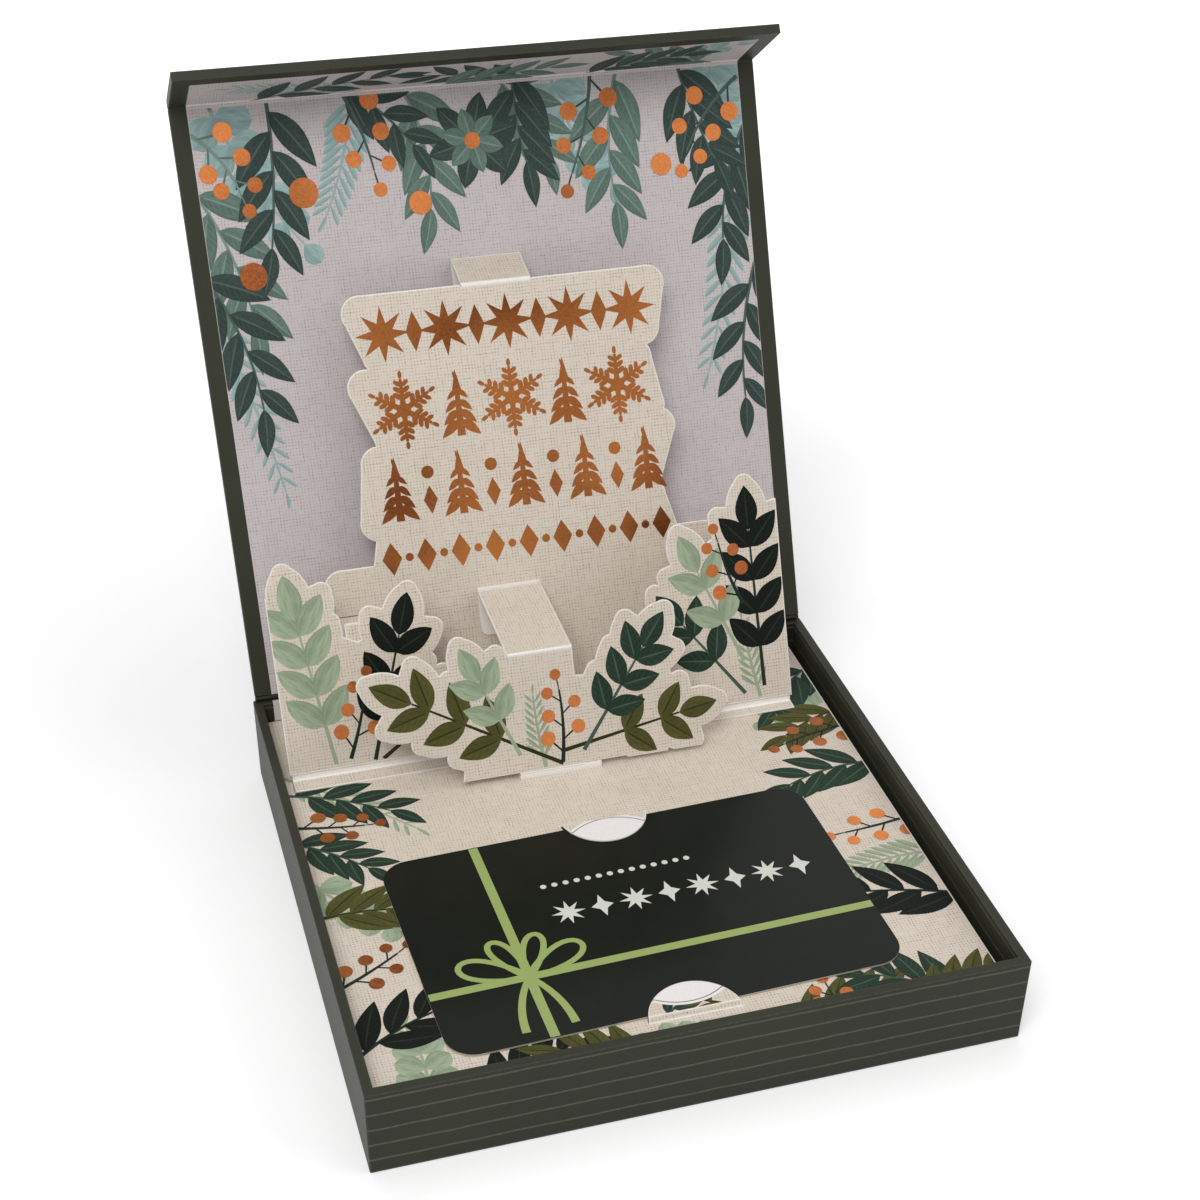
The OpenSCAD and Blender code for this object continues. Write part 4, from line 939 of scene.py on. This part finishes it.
def panel_crease(side, off, ahead):
    """The bend from a glued strip up to a standing panel. The strip lies ahead of the panel or behind it."""
    panel, tab, joint, body = f"{side}_panel", f"{side}_panel_tab", f"{side}_panel_fold", f"{side}_spray"
    low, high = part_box(tab)
    face = face_at(joint, STAND, off + SHEET / 2 + INK_LIFT, lower_edge(panel, joint, off))
    foot = face @ Vector((0, 0, 0))
    if ahead:
        corner = Vector((0, foot.y, high[2] + INK_LIFT * MM))
        ends = [corner - Vector((0, back * LAP * MM, 0)) for back in (2.0, 1.6)]
    else:
        corner = Vector((0, low[1] - SWELL * MM, (foot.z + high[2]) / 2))
        ends = [Vector((0, low[1] - 0.03 * MM, low[2] + up * MM)) for up in (0.02, 0.06)]
    ends += [face @ Vector((0, LAP * up * MM, 0)) for up in (1.0, 1.4)]
    sides = (low[0] / MM + TAB_INSET, high[0] / MM - TAB_INSET)
    strip = bent_strip(f"{panel}_crease", sides, ends, corner, PAINTED_FOLD_HIGHLIGHT)
    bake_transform(strip)


panel_crease("front", PANEL_OFF, False)
panel_crease("left", SIDE_OFF, True)
panel_crease("right", SIDE_OFF, True)


def strap_crease(strap):
    """The bend at a strap's front edge, down over the top edge of the panel that the strap turns on."""
    body = f"{strap}_link"
    low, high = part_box(strap)
    fold = Vector(joints[f"{strap}_fold"]["pos_m"])
    way = Vector((0, high[1] - low[1], high[2] - low[2] - SHEET * MM)).normalized()
    ends = [fold + Vector((0, -0.26, up)) * MM for up in (-0.12, -0.06)]
    ends += [fold + Vector(STRAP_TOP) * MM + way * LAP * out * MM for out in (1.7, 2.1)]
    sides = (low[0] / MM + STRAP_INSET, high[0] / MM - STRAP_INSET)
    strip = bent_strip(f"{strap}_crease", sides, ends, fold + Vector(STRAP_CORNER) * MM, PAINTED_FOLD_HIGHLIGHT)
    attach(strip, body)


strap_crease("front_strap")
strap_crease("top_strap")

# Half-moon tabs
# Cut from the platform's own card and lifted over the gift card's edges. Each keeps a slice of the platform's
# print at its root; the rest is white, with a thin grey arc.

# In millimetres: the card's middle, out from there to a tab's root, and the height of a tab's top. Then a
# tab's radius, half the width that is printed, and how far behind the root its round edge is centred.
CARD_Y = -21.9
MOON_ROOT = 28.69
MOON_TOP = 14.65
MOON_R = 8.6
MOON_HALF = MOON_R * 0.985
MOON_BACK = 0.9
ARC_R = 11.0
ARC_WIDTH = 0.22
MOON_STEPS = 40
INKS["white"] = plain_card("coated_white_card", "#DCD6D8", 0.35)
INKS["grey_line"] = leaf_ink("ink_grey_line", "#77736E", "#77736E")


def moon_print(name, side, arc_foot, leaves=()):
    """The white part of a tab, between its round edge and a drawn arc whose foot is arc_foot up the tab."""
    root = Matrix.Translation((0, (CARD_Y + side * MOON_ROOT) * MM, MOON_TOP * MM))
    sheet = Print(root @ Matrix.Rotation(math.pi if side > 0 else 0, 4, "Z"))
    for x, angle, ink in leaves:
        sprig(sheet, "willow", x, 0.4, angle, 5.5, ink, 0.0, 0.45, leaves=4)
    arc = (ARC_R + ARC_WIDTH / 2, ARC_R - ARC_WIDTH / 2)
    for ink, outer, inner in (("white", ARC_R + 0.7, 0.0), ("grey_line", *arc)):
        points = []
        for i in range(MOON_STEPS + 1):
            x = MOON_HALF * (2 * i / MOON_STEPS - 1)
            edge = math.sqrt(MOON_R ** 2 - x * x) - MOON_BACK
            for r in (outer, inner):
                y = arc_foot + ARC_R - math.sqrt(max(r * r - x * x, 0)) if r else edge
                points.append((x, min(max(y, MOON_BACK), max(edge, MOON_BACK))))
        sheet.skin(points, quads(MOON_STEPS), ink)
    sheet.press(name, "tray", ((-8.4, 1.0), (8.4, 9)), "platform_card")


moon_print("far_moon_print", 1, 1.0)
moon_print("near_moon_print", -1, 2.8, ((-5.6, 34, "forest"), (5.4, 148, "olive")))

# Gift card
# Gloss laminated card, near black, printed with a flat green ribbon, a bow and a small pale ornament. It lies
# loose under the half-moon tabs, turned by a degree or two.
CARD_TURN = 1.85
CARD_TOP = 14.25
card_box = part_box("gift_card")
card_mid = ((card_box[0][0] + card_box[1][0]) / 2, (card_box[0][1] + card_box[1][1]) / 2)


def gloss_card():
    """Near-black gloss laminate on white board, which shows along the cut edges."""
    material, tree, shader = new_finish("gloss_laminated_card", Coat_Weight=0.13, Coat_Roughness=0.12,
                                        Specular_IOR_Level=0.1)
    plane = paper_plane(tree, 0)
    mottle = add(tree, "ShaderNodeTexNoise", {"Vector": plane}, Scale=0.2, Detail=4.0)
    base = add(tree, "ShaderNodeMix", {0: mottle.outputs[0]}, data_type="RGBA",
               _6=linear("#0E120B"), _7=linear("#141810"))
    top = add(tree, "ShaderNodeMath", {0: faces_up(tree, 0)}, operation="GREATER_THAN", _1=0.5)
    colour = add(tree, "ShaderNodeMix", {0: top.outputs[0], 7: base.outputs[2]}, data_type="RGBA",
                 _6=linear("#B9B2A6"))
    shade = add(tree, "ShaderNodeMapRange", {"Value": mottle.outputs[0]}, To_Min=0.25, To_Max=0.34)
    tree.links.new(colour.outputs[2], shader.inputs["Base Color"])
    tree.links.new(shade.outputs[0], shader.inputs["Roughness"])
    return material


def gloss_ink(name, code):
    """Flat ink under the same gloss laminate, a little uneven in tone."""
    material, tree, shader = new_finish(name, Coat_Weight=0.2, Coat_Roughness=0.12, Specular_IOR_Level=0.1)
    plane = paper_plane(tree, 0)
    tone = add(tree, "ShaderNodeTexNoise", {"Vector": plane}, Scale=0.4, Detail=3.0)
    warm = add(tree, "ShaderNodeMapRange", {"Value": tone.outputs[0]}, To_Min=0.92, To_Max=1.08)
    ink = add(tree, "ShaderNodeVectorMath", {"Scale": warm.outputs[0]}, operation="SCALE",
              _0=linear(code)[:3])
    shade = add(tree, "ShaderNodeMapRange", {"Value": tone.outputs[0]}, To_Min=0.28, To_Max=0.36)
    tree.links.new(ink.outputs[0], shader.inputs["Base Color"])
    tree.links.new(shade.outputs[0], shader.inputs["Roughness"])
    return material


dress(["gift_card"], gloss_card())
INKS["ribbon"] = gloss_ink("gloss_ribbon_green", "#96A865")
INKS["pale"] = gloss_ink("gloss_pale_ink", "#D2D3CA")
card_print = Print(Matrix.Translation((card_mid[0], card_mid[1], CARD_TOP * MM))
                   @ Matrix.Rotation(math.radians(CARD_TURN), 4, "Z"))
card_print.lift = INK_LIFT / 2
# In millimetres from the card's middle: half the size that is printed, how much less the ribbons run, and
# where they cross. Then the width of the ribbons and of the bow's line, and one step of the bow's tails.
PRINT_X, PRINT_Y = 42.7, 26.9
SHORT = 0.1
ribbon_x, ribbon_y = -24.2, -11.0
RIBBON = 1.8
BOW_LINE = 1.15
TAIL_STEP = 1.2
TAIL_STEPS = 12
LOOP_STEPS = 30
card_print.line([(ribbon_x, -PRINT_Y + SHORT), (ribbon_x, PRINT_Y - SHORT)], RIBBON, "ribbon")
card_print.line([(-PRINT_X + SHORT, ribbon_y), (PRINT_X - SHORT, ribbon_y)], RIBBON, "ribbon")


def bow_loop(angle, length, wide):
    """A closed loop of ribbon from the knot, drawn as one line."""
    points = []
    c, s = math.cos(math.radians(angle)), math.sin(math.radians(angle))
    for i in range(LOOP_STEPS + 1):
        swing = math.pi * 2 * i / LOOP_STEPS
        u = length * (1 - math.cos(swing)) / 2
        v = wide * math.sin(swing) * (0.35 + 0.65 * u / length)
        points.append((ribbon_x + c * u - s * v, ribbon_y + s * u + c * v))
    return points


for angle, length, wide in ((28, 13.0, 3.4), (152, 13.0, 3.4), (68, 11.5, 2.5), (112, 11.5, 2.5)):
    card_print.line(bow_loop(angle, length, wide), BOW_LINE, "ribbon")
for angle, bend in ((-56, -34), (-124, 34)):
    tail = [(ribbon_x, ribbon_y)]
    for i in range(TAIL_STEPS):
        heading = math.radians(angle + bend * i / TAIL_STEPS)
        x, y = tail[-1]
        tail.append((x + TAIL_STEP * math.cos(heading), y + TAIL_STEP * math.sin(heading)))
    card_print.line(tail, BOW_LINE, "ribbon", RIBBON * 0.85)
card_print.row(1, (ribbon_x, ribbon_y), (0, 0), 12, 1.7, "ribbon")
card_print.row(14, (-14.6, 11.9), (2.2, 0), 8, 0.6, "pale")
card_print.row(4, (-12.2, 3.6), (13.2, 0), 8, 3.3, "pale", waist=0.4)
card_print.row(4, (-5.6, 3.6), (13.2, 0), 4, 3.1, "pale", waist=0.45, stretch=0.7)
card_print.press("card_print", "card", ((-PRINT_X, -PRINT_Y), (PRINT_X, PRINT_Y)), "gift_card")

# Light, floor and camera
# A pale sweep under soft lamps, seen from the left front and above. The camera and mirroring surfaces see a
# white sky and a sweep that glows white further off, while the object itself is lit by a fainter sky.


def area_lamp(name, place, aim, size, power):
    """A soft lamp with a face of this size in metres, turned to what it is aimed at."""
    lamp = bpy.data.lights.new(name, "AREA")
    lamp.shape = "RECTANGLE"
    lamp.size, lamp.size_y = size
    lamp.energy = power
    holder = placed_object(name, lamp)
    holder.location = place
    holder.rotation_euler = (Vector(aim) - Vector(place)).to_track_quat("-Z", "Y").to_euler()


area_lamp("key_lamp", (-0.35, -0.55, 0.95), (0, 0.02, 0.05), (0.6, 0.6), 7.0)
area_lamp("fill_lamp", (0.75, -0.35, 0.6), (0, 0.0, 0.05), (0.8, 0.8), 2.2)
area_lamp("top_lamp", (0.0, 0.35, 1.1), (0, 0.0, 0.05), (0.9, 0.6), 2.4)

world = bpy.data.worlds.new("studio")
bpy.context.scene.world = world
world.use_nodes = True
sky = world.node_tree
background = sky.nodes["Background"]
paths = add(sky, "ShaderNodeLightPath").outputs
through = add(sky, "ShaderNodeMath", {0: paths["Is Glossy Ray"], 1: paths["Is Transmission Ray"]},
              operation="MAXIMUM")
seen = add(sky, "ShaderNodeMath", {0: through.outputs[0], 1: paths["Is Camera Ray"]}, operation="MAXIMUM")
strength = add(sky, "ShaderNodeMapRange", {"Value": seen.outputs[0]}, To_Min=0.32, To_Max=1.0)
background.inputs["Color"].default_value = (1, 1, 1, 1)
sky.links.new(strength.outputs[0], background.inputs["Strength"])

# The floor lies a hair below the base, so that the two don't flicker into each other
FLOOR_GAP = 0.0002
floor_mesh = bmesh.new()
bmesh.ops.create_grid(floor_mesh, x_segments=2, y_segments=2, size=3.0)
floor_data = bpy.data.meshes.new("floor")
floor_mesh.to_mesh(floor_data)
floor_mesh.free()
floor = placed_object("floor", floor_data)
floor.location = (0, 0, -FLOOR_GAP)
floor_material, floor_tree, floor_shader = new_finish("matt_white_paper_sweep", Roughness=0.9,
                                                      Specular_IOR_Level=0.1)
floor_shader.inputs["Base Color"].default_value = linear("#F2F2F2")
floor_shader.inputs["Emission Color"].default_value = (1, 1, 1, 1)
floor_paths = add(floor_tree, "ShaderNodeLightPath").outputs
floor_seen = add(floor_tree, "ShaderNodeMath",
                 {0: floor_paths["Is Camera Ray"], 1: floor_paths["Is Glossy Ray"]}, operation="MAXIMUM")
floor_place = add(floor_tree, "ShaderNodeTexCoord").outputs["Object"]
floor_away = add(floor_tree, "ShaderNodeVectorMath", {0: floor_place}, operation="LENGTH")
floor_light = add(floor_tree, "ShaderNodeMapRange", {"Value": floor_away.outputs["Value"]},
                  From_Min=0.12, From_Max=0.8, To_Min=0.2, To_Max=1.0)
floor_glow = add(floor_tree, "ShaderNodeMath", {0: floor_seen.outputs[0], 1: floor_light.outputs[0]},
                 operation="MULTIPLY")
floor_tree.links.new(floor_glow.outputs[0], floor_shader.inputs["Emission Strength"])
floor_data.materials.append(floor_material)

camera_data = bpy.data.cameras.new("camera")
camera = placed_object("camera", camera_data)
camera.location = (-0.09366, -0.29838, 0.26676)
camera.rotation_euler = [math.radians(a) for a in (52.93, -1.02, -16.90)]
camera_data.lens = 62.27
camera_data.sensor_width = 36.0
camera_data.shift_x = -0.0180
camera_data.shift_y = 0.1424
camera_data.clip_start = 0.01
bpy.context.scene.camera = camera
bpy.context.scene.view_settings.view_transform = "Standard"
